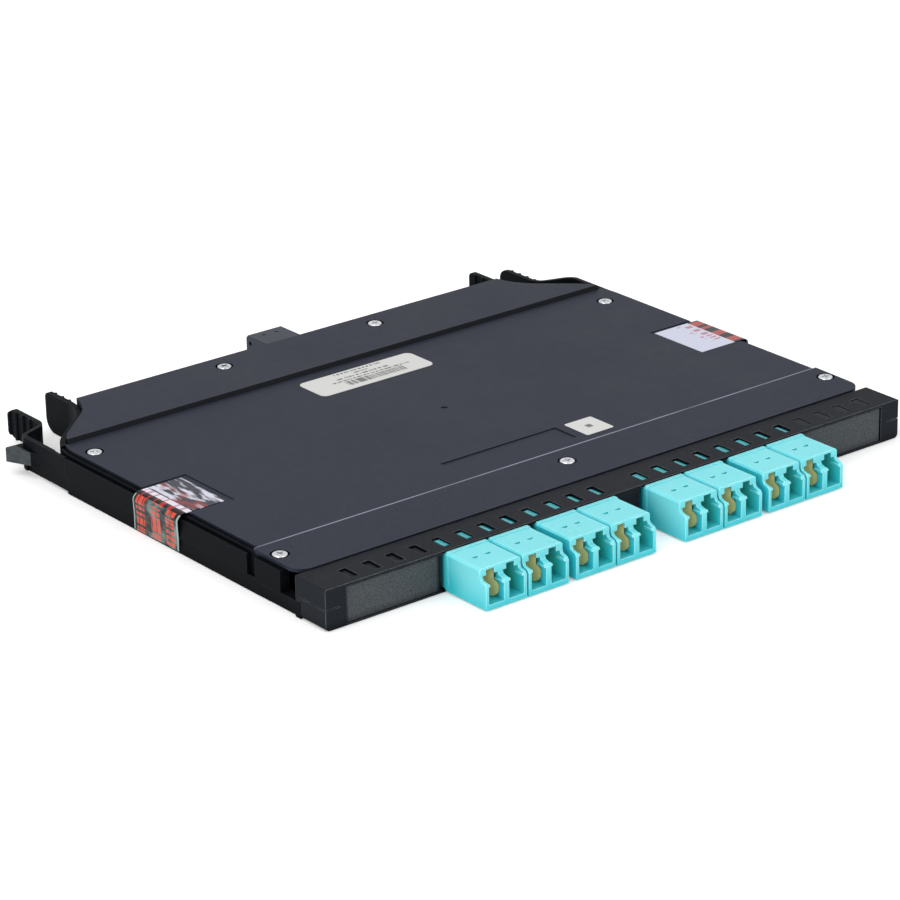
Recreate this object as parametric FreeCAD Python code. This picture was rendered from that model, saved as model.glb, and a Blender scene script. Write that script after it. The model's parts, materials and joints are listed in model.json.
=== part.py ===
import FreeCAD, Part
import math
import os

V = FreeCAD.Vector

# Fibre cassette: a flat sliding module with LC duplex ports in front and one MPO port behind.
# Millimetres. X runs across the front, Y from the front face to the rear, Z up.
# The origin is on the underside, at the middle of the front face of the bezel.

# ---- overall sizes -------------------------------------------------------------------------
WIDTH = 190.0              # across the bezel and the side rails
HALF = WIDTH / 2
CUT = 400.0                # long side of a tool block that cuts right through

# ---- bezel ---------------------------------------------------------------------------------
BEZEL_TOP = 10.9
BEZEL_DEPTH = 12.0         # front face to the rear edge of the top lip
BEZEL_LIP = 0.8            # thickness of the windowed top lip
BEZEL_SILL = 0.5           # thickness of the bottom plate
SILL_DEPTH = 15.0
POST_NOTCH_Z = 4.4         # below this the end posts stop short for the tray's shelf
POST_NOTCH_Y = 10.0
POST_WALL = 1.1
POST_LINE_Z = 5.5          # parting line round each end post
POST_LINE_H = 0.25
POST_LINE_D = 0.2
POST_LINE_STOP = 1.0
POST_LINE_BACK = 10.5
CORNER_LOW_R = 1.2
CORNER_TOP_R = 0.5

# ---- port cells ----------------------------------------------------------------------------
CELLS_PER_SIDE = 6
MULLION = 7.4              # plain post between the two groups
END_POST_W = 6.4
CELL = (WIDTH - MULLION - 2 * END_POST_W) / (2 * CELLS_PER_SIDE)     # one duplex position
QUAD_RIB = 1.0             # rib after every second cell
PORT_PITCH = 6.25          # LC ports of one adapter
PAIR_DRAW = 0.45           # the adapters of a quad sit this much closer than their cells
SEAT_SHIFT = 0.4
WINDOW_W = 2.45
WINDOW_L = 5.3
WINDOW_Y = 2.35            # front end of the lip windows
WINDOW_PITCH = CELL / 2
WINDOW_SHIFT = 0.7

# ---- LC duplex adapter ---------------------------------------------------------------------
ADAPTER_W = CELL - 1.45
ADAPTER_BASE = 0.2
ADAPTER_TOP = 10.35
ADAPTER_NOSE = 15.8        # lower part of the nose, ahead of the bezel
ADAPTER_BROW = 13.4        # upper part of the nose, set back above the ports
BROW_Z = 8.3
NOSE_Z = 6.3
ADAPTER_REAR = 14.0        # end of the adapter inside the cassette
REAR_W = ADAPTER_W - 0.3
REAR_BASE = 0.65
REAR_TOP = 9.95
COLLAR_PROUD = 0.2
COLLAR_T = 1.2
SEAT_GAP = 0.1
PORT_W = 4.65
PORT_FLOOR = 1.5
PORT_SHOULDER = 6.2
TOOTH_H = 0.6
TOOTH_IN = 0.5
LATCH_SLOT_W = 2.5
LATCH_SLOT_TOP = 9.7
CAVITY_TOP = 9.4
FACE_T = 3.0               # depth of the shaped port mouth, from the lower nose face
WEB_FRONT = 4.0            # web between the two cavities, ahead of the bezel face
WEB_REAR = 1.5
BARREL_D = 3.0
BARREL_SIDES = 6
BARREL_FRONT = 4.8
BARREL_REAR = 3.0
FERRULE_D = 1.25
FERRULE_SIDES = 6
FERRULE_GAP = 0.03
NOSE_EDGE = 0.5
COLLAR_EDGE = 0.55
CATCH_W = 1.5              # catches on the adapter's rear half that show in the lip windows
CATCH_L = 4.5
CATCH_H = 0.45

# ---- port shutters -------------------------------------------------------------------------
LEAF_T = 0.2
LEAF_SET = 2.2             # leaf root behind the lower nose face
LEAF_ANGLE = 32.0          # rest angle to the centre wall
LEAF_BASE = 0.2            # above the port floor
LEAF_STEP = 1.3            # the root edge is an arc that falls back this far above and below
LEAF_MID_Z = 4.0           # height of the foremost point of the arc
LEAF_TIP_GAP = 0.25
POCKET_D = 0.27
LEAF_ROOT_H = 1.6          # straight part of the root edge, which flexes

# ---- body ----------------------------------------------------------------------------------
RAIL_OUT = 1.2             # rails stand this far outside the tray wall
WALL_T = 1.6
FLOOR_T = 1.0
TRAY_FRONT = SILL_DEPTH + 0.2
TRAY_REAR = 140.4
LEDGE_Z = 10.3             # top of the wall, under the cover
RIM_T = 0.6
RIM_Z = 10.7
CURVE_START_Y = 112.0      # where the wall turns inward round the finger recess
CURVE_R = 16.0
CURVE_ANGLE = 48.0
TAB_U = 20.9               # finger tab, from the side of the cassette
TAB_T = 1.5
TAB_TOP = 11.1
TAB_ROOT_Y = 118.0
TAB_END = 154.5
TAB_R_TOP = 1.5
TAB_R_LOW = 4.0
GRIP_R = 0.5
GRIP_PITCH = 3.4

# ---- side rails ----------------------------------------------------------------------------
RAIL_BAND_Z = 4.3          # lower edge of the raised upper band
RAIL_TOP = 9.9
RAIL_SINK = 0.5            # lower band is set in by this much
RAIL_FRONT = 32.0
BLOCK_Y0 = 18.3
BLOCK_Y1 = 28.7
SHELF_TOP = 4.2
SHELF_Y0 = 10.2
SHELF_IN = 5.2
SHELF_SINK = 0.6           # the shelf's face under its ledge
LEDGE_T = 0.7              # leaf-shaped ledge along the top of the shelf
HOOK_Y1 = 12.2             # rounded hook at the ledge's front end
HOOK_Z = (2.6, 4.35)
RIM_GROOVE = 0.5
RIM_GROOVE_D = 0.9

# ---- latch arms ----------------------------------------------------------------------------
ARM_T = 1.3
ARM_ROOT_T = 0.9
ARM_PIVOT_U = 0.45
ARM_PIVOT_Y = 113.3
ARM_LOW = 0.7
ARM_TOP = 10.1
ARM_SEAT_GAP = 0.06
ARM_CURVE_Y = 132.0
ARM_CURVE_R = 4.0
ARM_CURVE_ANGLE = 65.0
PAD_U = 9.3
PAD_END = 154.8
PAD_R = 3.0
PAD_LOW = 1.2
PAD_TOP = 9.4
PAD_FLAT_Y = 138.5         # the top edge has dropped to the pad's height here
PAD_RIB_R = 0.6
PAD_RIB_PITCH = 3.45
PAD_RIBS = 5
TOOTH_Y0 = 126.0
TOOTH_Y1 = 135.2
TOOTH_OUT = 4.0
TOOTH_LOW = 3.3
TOOTH_TOP = 7.1

# ---- cover ---------------------------------------------------------------------------------
COVER_T = 1.2
COVER_TOP = LEDGE_Z + COVER_T
COVER_FRONT_DROP = 0.25
COVER_FRONT = BEZEL_DEPTH + 0.3
BEND_Y = 30.5
COVER_INSET = 1.2          # cover edge inside the outer face of the tray wall
WING_INSET = 0.1           # the front zone is wider than the rest
BAND_Y = 117.3
BAND_RISE = 1.1
BAND_SLOPE = 0.7
BAND_TOP = COVER_TOP + BAND_RISE
BAND_REAR = 141.4
BAND_REAR_T = 0.9
BAND_GAP = 0.4
SCREW_RECESS_D = 5.0
RECESS_SIDES = 16
HEAD_SIDES = 12
SCREW_RECESS = 0.6
SCREW_HOLE_D = 2.5
LABEL_T = 0.12
LABEL_RECESS = 0.2
COVER_CORNER_R = 4.5
PLAQUE = (-26.0, 12.2, 34.4, 43.2)
PLAQUE_DEPTH = 0.25
GATE_SPOT = (-0.8, 73.3)   # moulding gate, a shallow dimple
GATE_D = 1.8

# ---- labels and seals ----------------------------------------------------------------------
RATING_LABEL = (-20.4, 17.5, 100.4, 112.5)
SQUARE_LABEL = (15.0, 24.1, 33.3, 42.9)
SEAL_RECESS_Y = (58.6, 80.4)
SEAL_RECESS_IN = {"left": 15.6, "right": 17.3}     # inner edge, from the side of the cassette
SEAL_TOP_IN = {"left": 13.6, "right": 16.3}
SEAL_Y = (59.7, 79.4)
SEAL_LEAN = 2.4            # the lower edge of the film sits this much further back
SEAL_LOW = 0.4
SEAL_BEND_R = 1.9          # the film bridges the groove and turns down outside the rail
SEAL_OUT = 1.0
SEAL_GAP = 0.05

# ---- screws --------------------------------------------------------------------------------
SCREW_HEAD_D = 4.3
SCREW_HEAD_H = 0.7
SCREW_D = 2.2
SCREW_L = 6.5
POST_D = 5.6
POST_SIDES = 8
PILOT_D = 2.3
PILOT_STOP = 0.6           # the pilot hole ends this far above the floor
FRONT_SCREW_Y = 23.7
FRONT_SCREW_X = HALF - 4.1
REAR_SCREW_Y = 108.5
COVER_SCREWS = [(-FRONT_SCREW_X, FRONT_SCREW_Y), (0.0, FRONT_SCREW_Y), (FRONT_SCREW_X, FRONT_SCREW_Y),
                (-HALF + 6.6, REAR_SCREW_Y), (HALF - 9.5, REAR_SCREW_Y)]
BAND_SCREW_Y = BAND_REAR - 6.4
BAND_SCREWS = [(-0.3 * HALF, BAND_SCREW_Y), (0.244 * HALF, BAND_SCREW_Y)]

# ---- fibre spools --------------------------------------------------------------------------
SPOOL_X = 0.55 * HALF
SPOOL_Y = 88.0
SPOOL_R = 15.0
SPOOL_WALL = 1.2
SPOOL_TOP = 6.0
SPOOL_SLOT = 8.0
SPOOL_SIDES = 16

# ---- MPO adapter ---------------------------------------------------------------------------
MPO_W = 12.5
MPO_BASE = FLOOR_T
MPO_TOP = 10.1
MPO_GAP = 0.15             # around the adapter in the rear wall
MPO_FRONT = 128.0
MPO_REAR = 156.0
MPO_PORT_W = 9.9
MPO_PORT_Z = (2.2, 8.8)
MPO_WEB = (140.4, 142.0)
MPO_EAR = 2.4
MPO_EAR_T = 1.3
MPO_KEY_W = 2.8
MPO_KEY_H = 0.8
MPO_EDGE = 0.5
MPO_THROAT = (3.4, 4.0, 7.0)   # half width, bottom and top of the hole in its web
MPO_NICK = (1.6, 2.6)          # two small nicks on its top, from and to in X
MPO_NICK_IN = (3.4, 2.2)       # ahead of its rear face
MPO_HOLE_D = 1.4
MPO_HOLE_IN = (1.8, 1.9)       # from its rear face and from its top
MPO_HOLE_SIDES = 12

# ---- MPO connector inside, back from the adapter's front -----------------------------------
PLUG_FIT = 0.15
SHELL_LEN = 8.0
SHELL_EDGE = 0.6
NECK_END = 12.0
NECK_HALF = (3.6, 2.4)
BOOT_START = 11.5
BOOT_END = 20.0
BOOT_HALF = 2.3
BOOT_WALL = 0.5
MPO_FERRULE = (3.2, 1.25)      # half width and half height
MPO_FERRULE_OUT = 2.0          # past the web

# ---- fibres --------------------------------------------------------------------------------
PLUG_W = 4.45
PLUG_LEN = 17.0
BOOT_LEN = 11.0
PAIR_END = BARREL_REAR + 0.6 + PLUG_LEN + BOOT_LEN
TAIL_W = 1.7               # flat twin fibre of one adapter
TAIL_H = 1.0
TAIL_RUN = 17.0            # straight part at each end of a tail
TAIL_BOW = 2.0             # the middle of a tail stands this much further back
TAIL_SEAT = 1.4            # depth of a tail's end in its clip and in the fan-out block
RIBBON_D = 3.0
RIBBON_SIDES = 12
RIBBON_SEAT = 1.4          # depth of the ribbon tube's end in the fan-out block
RIBBON_END = 14.0          # its other end, ahead of the MPO adapter's front
FANOUT = (-9.0, 9.0, 88.0, 98.0)
FANOUT_PITCH = 2.1
CORD_Z = 3.85


# ---- small helpers -------------------------------------------------------------------------
def box(x0, x1, y0, y1, z0, z1):
    return Part.makeBox(x1 - x0, y1 - y0, z1 - z0, V(x0, y0, z0))


def wire_face(points):
    return Part.Face(Part.makePolygon([V(*p) for p in points] + [V(*points[0])]))


def plan_prism(points, z0, z1):
    """A plan outline (x, y) raised from z0 to z1."""
    return wire_face([(x, y, z0) for x, y in points]).extrude(V(0, 0, z1 - z0))


def side_prism(points, x0, x1):
    """A side outline (y, z) drawn across from x0 to x1."""
    return wire_face([(x0, y, z) for y, z in points]).extrude(V(x1 - x0, 0, 0))


def front_prism(points, y0, y1):
    """A front outline (x, z) drawn back from y0 to y1."""
    return wire_face([(x, y0, z) for x, z in points]).extrude(V(0, y1 - y0, 0))


def upright(x, y, d, z0, z1):
    return Part.makeCylinder(d / 2, z1 - z0, V(x, y, z0))


def facet_ring(a, b, d, sides):
    """Corners of a regular polygon that measures d across its flats."""
    r = d / 2 / math.cos(math.pi / sides)
    turns = [2 * math.pi * (k + 0.5) / sides for k in range(sides)]
    return [(a + r * math.cos(t), b + r * math.sin(t)) for t in turns]


def facet_upright(x, y, d, z0, z1, sides):
    return plan_prism(facet_ring(x, y, d, sides), z0, z1)


def facet_rod_y(x, z, d, y0, y1, sides):
    return front_prism(facet_ring(x, z, d, sides), y0, y1)


def clipped_rect(a0, a1, b0, b1, c):
    """Corners of a rectangle whose four corners are clipped."""
    low = [(a0, b0 + c), (a0 + c, b0), (a1 - c, b0), (a1, b0 + c)]
    return low + [(a1, b1 - c), (a1 - c, b1), (a0 + c, b1), (a0, b1 - c)]


def fuse(shapes):
    whole = shapes[0].multiFuse(shapes[1:]) if len(shapes) > 1 else shapes[0]
    return whole.removeSplitter()


def cut(shape, tools):
    return shape.cut(tools)


def mirrored(shape):
    return shape.mirror(V(0, 0, 0), V(1, 0, 0))


def both_sides(shape):
    return [shape, mirrored(shape)]


def round_edges(shape, radius, wanted):
    """Fillet the edges whose centre satisfies the test."""
    edges = [e for e in shape.Edges if wanted(e)]
    return shape.makeFillet(radius, edges)


def runs_along(edge, axis):
    a, b = edge.Vertexes[0].Point, edge.Vertexes[-1].Point
    along = abs(getattr(b - a, axis))
    return along > 1e-6 and abs((b - a).Length - along) < 1e-6


# ---- the curve that both the finger tab and the latch arm follow ---------------------------
class RecessCurve:
    """A path that runs back along the side, swings inward and runs straight back again.

    u is measured inward from the side of the cassette. Every path can be offset inward.
    """

    def __init__(self, u0, y0, u1, radius, angle):
        self.u0, self.y0, self.u1, self.r = u0, y0, u1, radius
        self.a = math.radians(angle)
        swing = 2 * radius * (1 - math.cos(self.a))
        self.y1 = y0 + 2 * radius * math.sin(self.a) + (u1 - u0 - swing) / math.tan(self.a)

    def first(self, t, part):
        a, r = self.a * part, self.r - t
        return V(-HALF + self.u0 + self.r - r * math.cos(a), self.y0 + r * math.sin(a), 0)

    def second(self, t, part):
        a, r = self.a * part, self.r + t
        return V(-HALF + self.u1 - self.r + r * math.cos(a), self.y1 - r * math.sin(a), 0)

    def edges(self, t, front, rear):
        """Edges from the front end to the rear end, moved inward by t."""
        start = V(-HALF + self.u0 + t, front, 0)
        end = V(-HALF + self.u1 + t, rear, 0)
        one = [self.first(t, p) for p in (0, 0.5, 1)]
        two = [self.second(t, p) for p in (1, 0.5, 0)]
        return [Part.LineSegment(start, one[0]).toShape(), Part.Arc(*one).toShape(),
                Part.LineSegment(one[2], two[0]).toShape(), Part.Arc(*two).toShape(),
                Part.LineSegment(two[2], end).toShape()]

    def strip(self, t0, t1, front, rear, z0, z1):
        """A wall between two offsets of the path."""
        outer = self.edges(t0, front, rear)
        inner = self.edges(t1, front, rear)
        ends = [Part.LineSegment(outer[0].Vertexes[0].Point, inner[0].Vertexes[0].Point).toShape(),
                Part.LineSegment(outer[-1].Vertexes[-1].Point, inner[-1].Vertexes[-1].Point).toShape()]
        wire = Part.Wire(Part.__sortEdges__(outer + inner + ends))
        face = Part.Face(wire)
        face.translate(V(0, 0, z0))
        return face.extrude(V(0, 0, z1 - z0))


BODY_CURVE = RecessCurve(RAIL_OUT, CURVE_START_Y, TAB_U, CURVE_R, CURVE_ANGLE)
ARM_CURVE = RecessCurve(0.0, ARM_CURVE_Y, PAD_U, ARM_CURVE_R, ARM_CURVE_ANGLE)


def body_block(inset, front, rear, z0, z1):
    """The plan shape of the body, inset from the outer face of its walls."""
    far = TAB_END + 20
    left = BODY_CURVE.edges(inset, front, far)
    right = [e.mirror(V(0, 0, 0), V(1, 0, 0)) for e in left]
    ends = []
    for left_end, right_end in ((left[0], right[0]), (left[-1], right[-1])):
        k = 0 if left_end is left[0] else -1
        ends.append(Part.LineSegment(left_end.Vertexes[k].Point, right_end.Vertexes[k].Point).toShape())
    face = Part.Face(Part.Wire(Part.__sortEdges__(left + right + ends)))
    face.translate(V(0, 0, z0))
    return face.extrude(V(0, 0, z1 - z0)).common(box(-CUT, CUT, front, rear, z0, z1))


# ---- positions of cells, windows and adapters ----------------------------------------------
GROUP_W = CELL * CELLS_PER_SIDE
GROUP_STARTS = (-MULLION / 2 - GROUP_W, MULLION / 2)
CELL_MIDS = [start + CELL * (i + 0.5) for start in GROUP_STARTS for i in range(CELLS_PER_SIDE)]
BLANK_CELLS = ((0, 1), (10, 11))
ADAPTER_CELLS = (2, 3, 4, 5, 6, 7, 8, 9)


def window_mids(cell):
    return [CELL_MIDS[cell] + WINDOW_SHIFT + s * WINDOW_PITCH / 2 for s in (-1, 1)]


def adapter_x(cell):
    draw = PAIR_DRAW if cell % 2 == 0 else -PAIR_DRAW
    return CELL_MIDS[cell] + SEAT_SHIFT + draw


# ---- front bezel ---------------------------------------------------------------------------
def bezel_shell():
    depth_box = box(-HALF, HALF, 0, BEZEL_DEPTH, 0, BEZEL_TOP)
    low = round_edges(depth_box, CORNER_LOW_R,
                      lambda e: runs_along(e, "y") and e.CenterOfMass.z < 1)
    shell = round_edges(low, CORNER_TOP_R,
                        lambda e: runs_along(e, "y") and e.CenterOfMass.z > BEZEL_TOP - 1)
    sill = box(GROUP_STARTS[0], -GROUP_STARTS[0], BEZEL_DEPTH - 1, SILL_DEPTH, 0, BEZEL_SILL)
    return fuse([shell, sill])


def end_post_tools():
    """What makes the left end post: its hollow, the notch for the shelf, the sunk upper half."""
    inner_top = BEZEL_TOP - BEZEL_LIP
    x_in = -post_line()
    hollow = box(-HALF + POST_WALL, x_in, POST_WALL, BEZEL_DEPTH + 1, BEZEL_SILL, inner_top)
    notch = box(-HALF - 1, x_in, POST_NOTCH_Y, BEZEL_DEPTH + 1, -1, POST_NOTCH_Z)
    line_z = (POST_LINE_Z - POST_LINE_H / 2, POST_LINE_Z + POST_LINE_H / 2)
    front_line = box(-HALF - 1, x_in - POST_LINE_STOP, -1, POST_LINE_D, *line_z)
    side_line = box(-HALF - 1, -HALF + POST_LINE_D, -1, POST_LINE_BACK, *line_z)
    return [hollow, notch, front_line, side_line]


def make_bezel():
    inner_top = BEZEL_TOP - BEZEL_LIP
    tools = []
    for start in GROUP_STARTS:
        tools.append(box(start, start + GROUP_W, -1, SILL_DEPTH + 1, BEZEL_SILL, inner_top))
    for tool in end_post_tools():
        tools += both_sides(tool)
    half_post = MULLION / 2 - POST_WALL
    tools.append(box(-half_post, half_post, POST_WALL, BEZEL_DEPTH + 1, BEZEL_SILL, inner_top))
    for cell in range(len(CELL_MIDS)):
        for x in window_mids(cell):
            tools.append(box(x - WINDOW_W / 2, x + WINDOW_W / 2, WINDOW_Y, WINDOW_Y + WINDOW_L,
                             inner_top - 1, BEZEL_TOP + 1))
    ribs = []
    for start in GROUP_STARTS:
        for k in (1, 2):
            x = start + 2 * k * CELL
            ribs.append(box(x - QUAD_RIB / 2, x + QUAD_RIB / 2, 0.3, BEZEL_DEPTH - 0.5, BEZEL_SILL, inner_top))
    return fuse([cut(bezel_shell(), tools)] + ribs)


# ---- LC duplex adapter ---------------------------------------------------------------------
def port_mouth(x):
    h, t, s = PORT_W / 2, PORT_W / 2 - TOOTH_IN, LATCH_SLOT_W / 2
    tooth_top = PORT_SHOULDER + TOOTH_H
    right = [(h, PORT_FLOOR), (h, PORT_SHOULDER), (t, PORT_SHOULDER), (t, tooth_top), (h, tooth_top),
             (h, BROW_Z), (s, BROW_Z), (s, LATCH_SLOT_TOP)]
    left = [(-px, pz) for px, pz in reversed(right)]
    outline = [(x + px, pz) for px, pz in right + left]
    return front_prism(outline, -ADAPTER_NOSE - 1, -ADAPTER_NOSE + FACE_T + 0.1)


def leaf_pocket(x, side):
    """Shallow pocket in the centre wall that takes the open leaf."""
    face = x - side * PORT_PITCH / 2 + side * (PORT_PITCH - PORT_W) / 2
    x0, x1 = sorted((face, face - side * POCKET_D))
    root = -ADAPTER_NOSE + LEAF_SET - 0.3
    low = box(x0, x1, root, -WEB_FRONT - 0.6, PORT_FLOOR, PORT_SHOULDER)
    high = box(x0, x1, -ADAPTER_NOSE + FACE_T, -WEB_FRONT - 0.6, PORT_SHOULDER - 1, CAVITY_TOP)
    return [low, high]


def leaf_root(side):
    """Where the leaf of one port turns, on the centre wall of the adapter."""
    return side * ((PORT_PITCH - PORT_W) / 2 - POCKET_D / 2), -ADAPTER_NOSE + LEAF_SET


def adapter_body():
    """Nose, collar and rear half of an adapter, before the ports are cut."""
    half = ADAPTER_W / 2
    side = [(-SEAT_GAP, ADAPTER_BASE), (-SEAT_GAP, ADAPTER_TOP), (-ADAPTER_BROW, ADAPTER_TOP),
            (-ADAPTER_BROW, BROW_Z), (-ADAPTER_BROW - 0.35, BROW_Z - 0.75),
            (-ADAPTER_NOSE + 0.45, NOSE_Z + 0.7), (-ADAPTER_NOSE, NOSE_Z), (-ADAPTER_NOSE, ADAPTER_BASE)]
    nose = side_prism(side, -half, half)
    outline = clipped_rect(-half, half, ADAPTER_BASE - NOSE_EDGE, ADAPTER_TOP, NOSE_EDGE)
    nose = nose.common(front_prism(outline, -ADAPTER_NOSE, 0))
    wide = half + COLLAR_PROUD
    outline = clipped_rect(-wide, wide, ADAPTER_BASE - 0.1, ADAPTER_TOP + COLLAR_PROUD, COLLAR_EDGE)
    collar = front_prism(outline, -SEAT_GAP - COLLAR_T, -SEAT_GAP)
    rear = box(-REAR_W / 2, REAR_W / 2, -1, ADAPTER_REAR, REAR_BASE, REAR_TOP)
    catch_y = WINDOW_Y + (WINDOW_L - CATCH_L) / 2
    catches = [box(x - CATCH_W / 2, x + CATCH_W / 2, catch_y, catch_y + CATCH_L,
                   REAR_TOP - 0.2, REAR_TOP + CATCH_H)
               for x in (WINDOW_PITCH * s / 2 + WINDOW_SHIFT - SEAT_SHIFT for s in (-1, 1))]
    return fuse([nose, collar, rear] + catches)


def port_tools(side):
    """Everything that is cut for one port: mouth, cavities, leaf pocket and rear latch slot."""
    x = side * PORT_PITCH / 2
    h = PORT_W / 2
    tools = [port_mouth(x),
             box(x - h, x + h, -ADAPTER_NOSE + FACE_T, -WEB_FRONT, PORT_FLOOR, CAVITY_TOP),
             box(x - h, x + h, -WEB_REAR, ADAPTER_REAR + 1, PORT_FLOOR, PORT_SHOULDER),
             box(x - LATCH_SLOT_W / 2, x + LATCH_SLOT_W / 2, 2.0, ADAPTER_REAR + 1,
                 PORT_SHOULDER - 1, CAVITY_TOP)]
    return tools + leaf_pocket(x, side)


def adapter_at_origin():
    body = cut(adapter_body(), port_tools(-1) + port_tools(1))
    barrels = [facet_rod_y(s * PORT_PITCH / 2, CORD_Z, BARREL_D, -BARREL_FRONT, BARREL_REAR, BARREL_SIDES)
               for s in (-1, 1)]
    bore_d = FERRULE_D + 2 * FERRULE_GAP
    bores = [facet_rod_y(s * PORT_PITCH / 2, CORD_Z, bore_d, -BARREL_FRONT - 1, BARREL_REAR + 1, FERRULE_SIDES)
             for s in (-1, 1)]
    return cut(fuse([body] + barrels), bores)


def leaf_at_origin(side):
    """Sprung shutter leaf of one port: side is -1 for the left port, +1 for the right one."""
    root_x, root_y = leaf_root(side)
    reach = (PORT_PITCH + PORT_W) / 2 - LEAF_TIP_GAP - abs(root_x)
    length = reach / math.sin(math.radians(LEAF_ANGLE))
    floor, top = PORT_FLOOR + LEAF_BASE, CAVITY_TOP - LEAF_BASE
    rise = LEAF_MID_Z - floor
    outline = [(LEAF_STEP, LEAF_MID_Z + rise), (LEAF_STEP, top), (length, top), (length, floor),
               (LEAF_STEP, floor), (LEAF_STEP * 0.3, LEAF_MID_Z - rise * 0.65),
               (0, LEAF_MID_Z - LEAF_ROOT_H / 2), (0, LEAF_MID_Z + LEAF_ROOT_H / 2),
               (LEAF_STEP * 0.3, LEAF_MID_Z + rise * 0.65)]
    leaf = side_prism(outline, -LEAF_T / 2, LEAF_T / 2)
    leaf.rotate(V(0, 0, 0), V(0, 0, 1), -side * LEAF_ANGLE)
    leaf.translate(V(root_x, root_y, 0))
    return leaf


# ---- blank plates --------------------------------------------------------------------------
def make_blank(cells, sunk, seat):
    """Snap-in blank over two cells. Its top catches stand in the lip windows."""
    start = CELL_MIDS[cells[0]] - CELL / 2
    end = CELL_MIDS[cells[1]] + CELL / 2
    x0 = start + (0.3 if cells[0] == 0 else QUAD_RIB / 2 + 0.1)
    x1 = end - (0.3 if cells[1] == len(CELL_MIDS) - 1 else QUAD_RIB / 2 + 0.1)
    top = BEZEL_TOP - BEZEL_LIP - 0.25
    block = box(x0, x1, 0.3, BEZEL_DEPTH - 1, BEZEL_SILL + 0.05, top)
    hollow = box(x0 + 1.2, x1 - 1.2, 1.8, BEZEL_DEPTH, BEZEL_SILL + 1.2, top - 1.0)
    shell = cut(block, [hollow])
    catches = []
    for cell in cells:
        for x in window_mids(cell):
            catches.append(box(x - WINDOW_W / 2 + seat, x + WINDOW_W / 2 - 0.3,
                               WINDOW_Y + seat, WINDOW_Y + WINDOW_L - 0.3, top - 0.2, BEZEL_TOP - sunk))
    return fuse([shell] + catches)


# ---- tray ----------------------------------------------------------------------------------
def finger_tab():
    wall = BODY_CURVE.strip(0, TAB_T, CURVE_START_Y - 1, TAB_END, 0, TAB_TOP)
    wall = wall.common(box(-CUT, CUT, TAB_ROOT_Y, TAB_END, 0, TAB_TOP))
    x_in = -HALF + TAB_U + TAB_T
    grips = [facet_upright(x_in, TAB_END - 3 - k * GRIP_PITCH, 2 * GRIP_R, 1.0, TAB_TOP, 8) for k in range(3)]
    tab = fuse([wall] + grips)
    keep = box(-CUT, CUT, 0, TAB_END, -1, TAB_TOP)
    keep = keep.makeFillet(TAB_R_TOP, [e for e in keep.Edges if runs_along(e, "x")
                                       and e.CenterOfMass.y > 1 and e.CenterOfMass.z > 1])
    low = box(-CUT, CUT, 0, TAB_END, 0, TAB_TOP + 5)
    low = low.makeFillet(TAB_R_LOW, [e for e in low.Edges if runs_along(e, "x")
                                     and e.CenterOfMass.y > 1 and e.CenterOfMass.z < 1])
    return tab.common(keep).common(low)


def side_rail():
    """Left rail: raised upper band, set-in lower band, and the shelf at the front."""
    x = -HALF
    wall_x = x + RAIL_OUT + 0.4
    band = box(x, wall_x, RAIL_FRONT, ARM_PIVOT_Y, RAIL_BAND_Z, RAIL_TOP)
    low = box(x + RAIL_SINK, wall_x, BLOCK_Y1, ARM_PIVOT_Y, 0, RAIL_BAND_Z)
    block = box(x, wall_x, BLOCK_Y0, BLOCK_Y1, SHELF_TOP - 0.2, RAIL_TOP)
    groove = box(x + RAIL_OUT - RIM_GROOVE, x + RAIL_OUT, RAIL_FRONT - 0.1, ARM_PIVOT_Y + 1,
                 RAIL_TOP - RIM_GROOVE_D, RAIL_TOP + 2)
    seat = upright(x + ARM_PIVOT_U, ARM_PIVOT_Y, ARM_ROOT_T + 2 * ARM_SEAT_GAP, -1, RAIL_TOP + 2)
    return cut(fuse([band, low, block] + shelf(x, wall_x)), [groove, seat])


def shelf(x, wall_x):
    """Lower front shelf with a leaf-shaped ledge that ends in a small hook."""
    ledge_z = SHELF_TOP - LEDGE_T
    inner = [(x + SHELF_IN, SHELF_Y0), (x + SHELF_IN, TRAY_FRONT + 1), (wall_x, TRAY_FRONT + 4)]
    body = plan_prism([(x, SHELF_Y0)] + inner + [(wall_x, RAIL_FRONT), (x + RAIL_SINK, RAIL_FRONT),
                      (x + RAIL_SINK, BLOCK_Y1), (x + SHELF_SINK, BLOCK_Y0 + 4), (x + SHELF_SINK, HOOK_Y1 + 1),
                      (x, HOOK_Y1)], 0, ledge_z)
    ledge = plan_prism([(x, SHELF_Y0)] + inner + [(wall_x, BLOCK_Y1), (x + 0.2, BLOCK_Y1 - 2),
                       (x, BLOCK_Y1 - 6)], ledge_z - 0.1, SHELF_TOP)
    hook = side_prism(clipped_rect(SHELF_Y0, HOOK_Y1, HOOK_Z[0], HOOK_Z[1], 0.6), x, x + 0.9)
    return [body, ledge, hook]


def side_wall():
    """Left wall of the tray, with its rim, its rail and the finger tab."""
    left = box(-CUT, 0, BEZEL_DEPTH, CUT, -1, CUT)
    outer = body_block(0, BEZEL_DEPTH + 0.3, TRAY_REAR, 0, LEDGE_Z)
    inner = body_block(WALL_T, 0, CUT, -1, LEDGE_Z + 5)
    front = box(-post_line(), 0, 0, TRAY_FRONT, -1, LEDGE_Z + 5)
    cavity = box(-HALF - 1, -HALF + 3.8, 0, BLOCK_Y0, SHELF_TOP, LEDGE_Z + 5)
    rim = body_block(0, BEND_Y + WING_INSET, BAND_Y, LEDGE_Z - 0.2, RIM_Z)
    rim = rim.cut(body_block(RIM_T, 0, CUT, LEDGE_Z - 1, RIM_Z + 1))
    return fuse([outer.cut([inner, front, cavity]).common(left), rim.common(left), side_rail(), finger_tab()])


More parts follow.
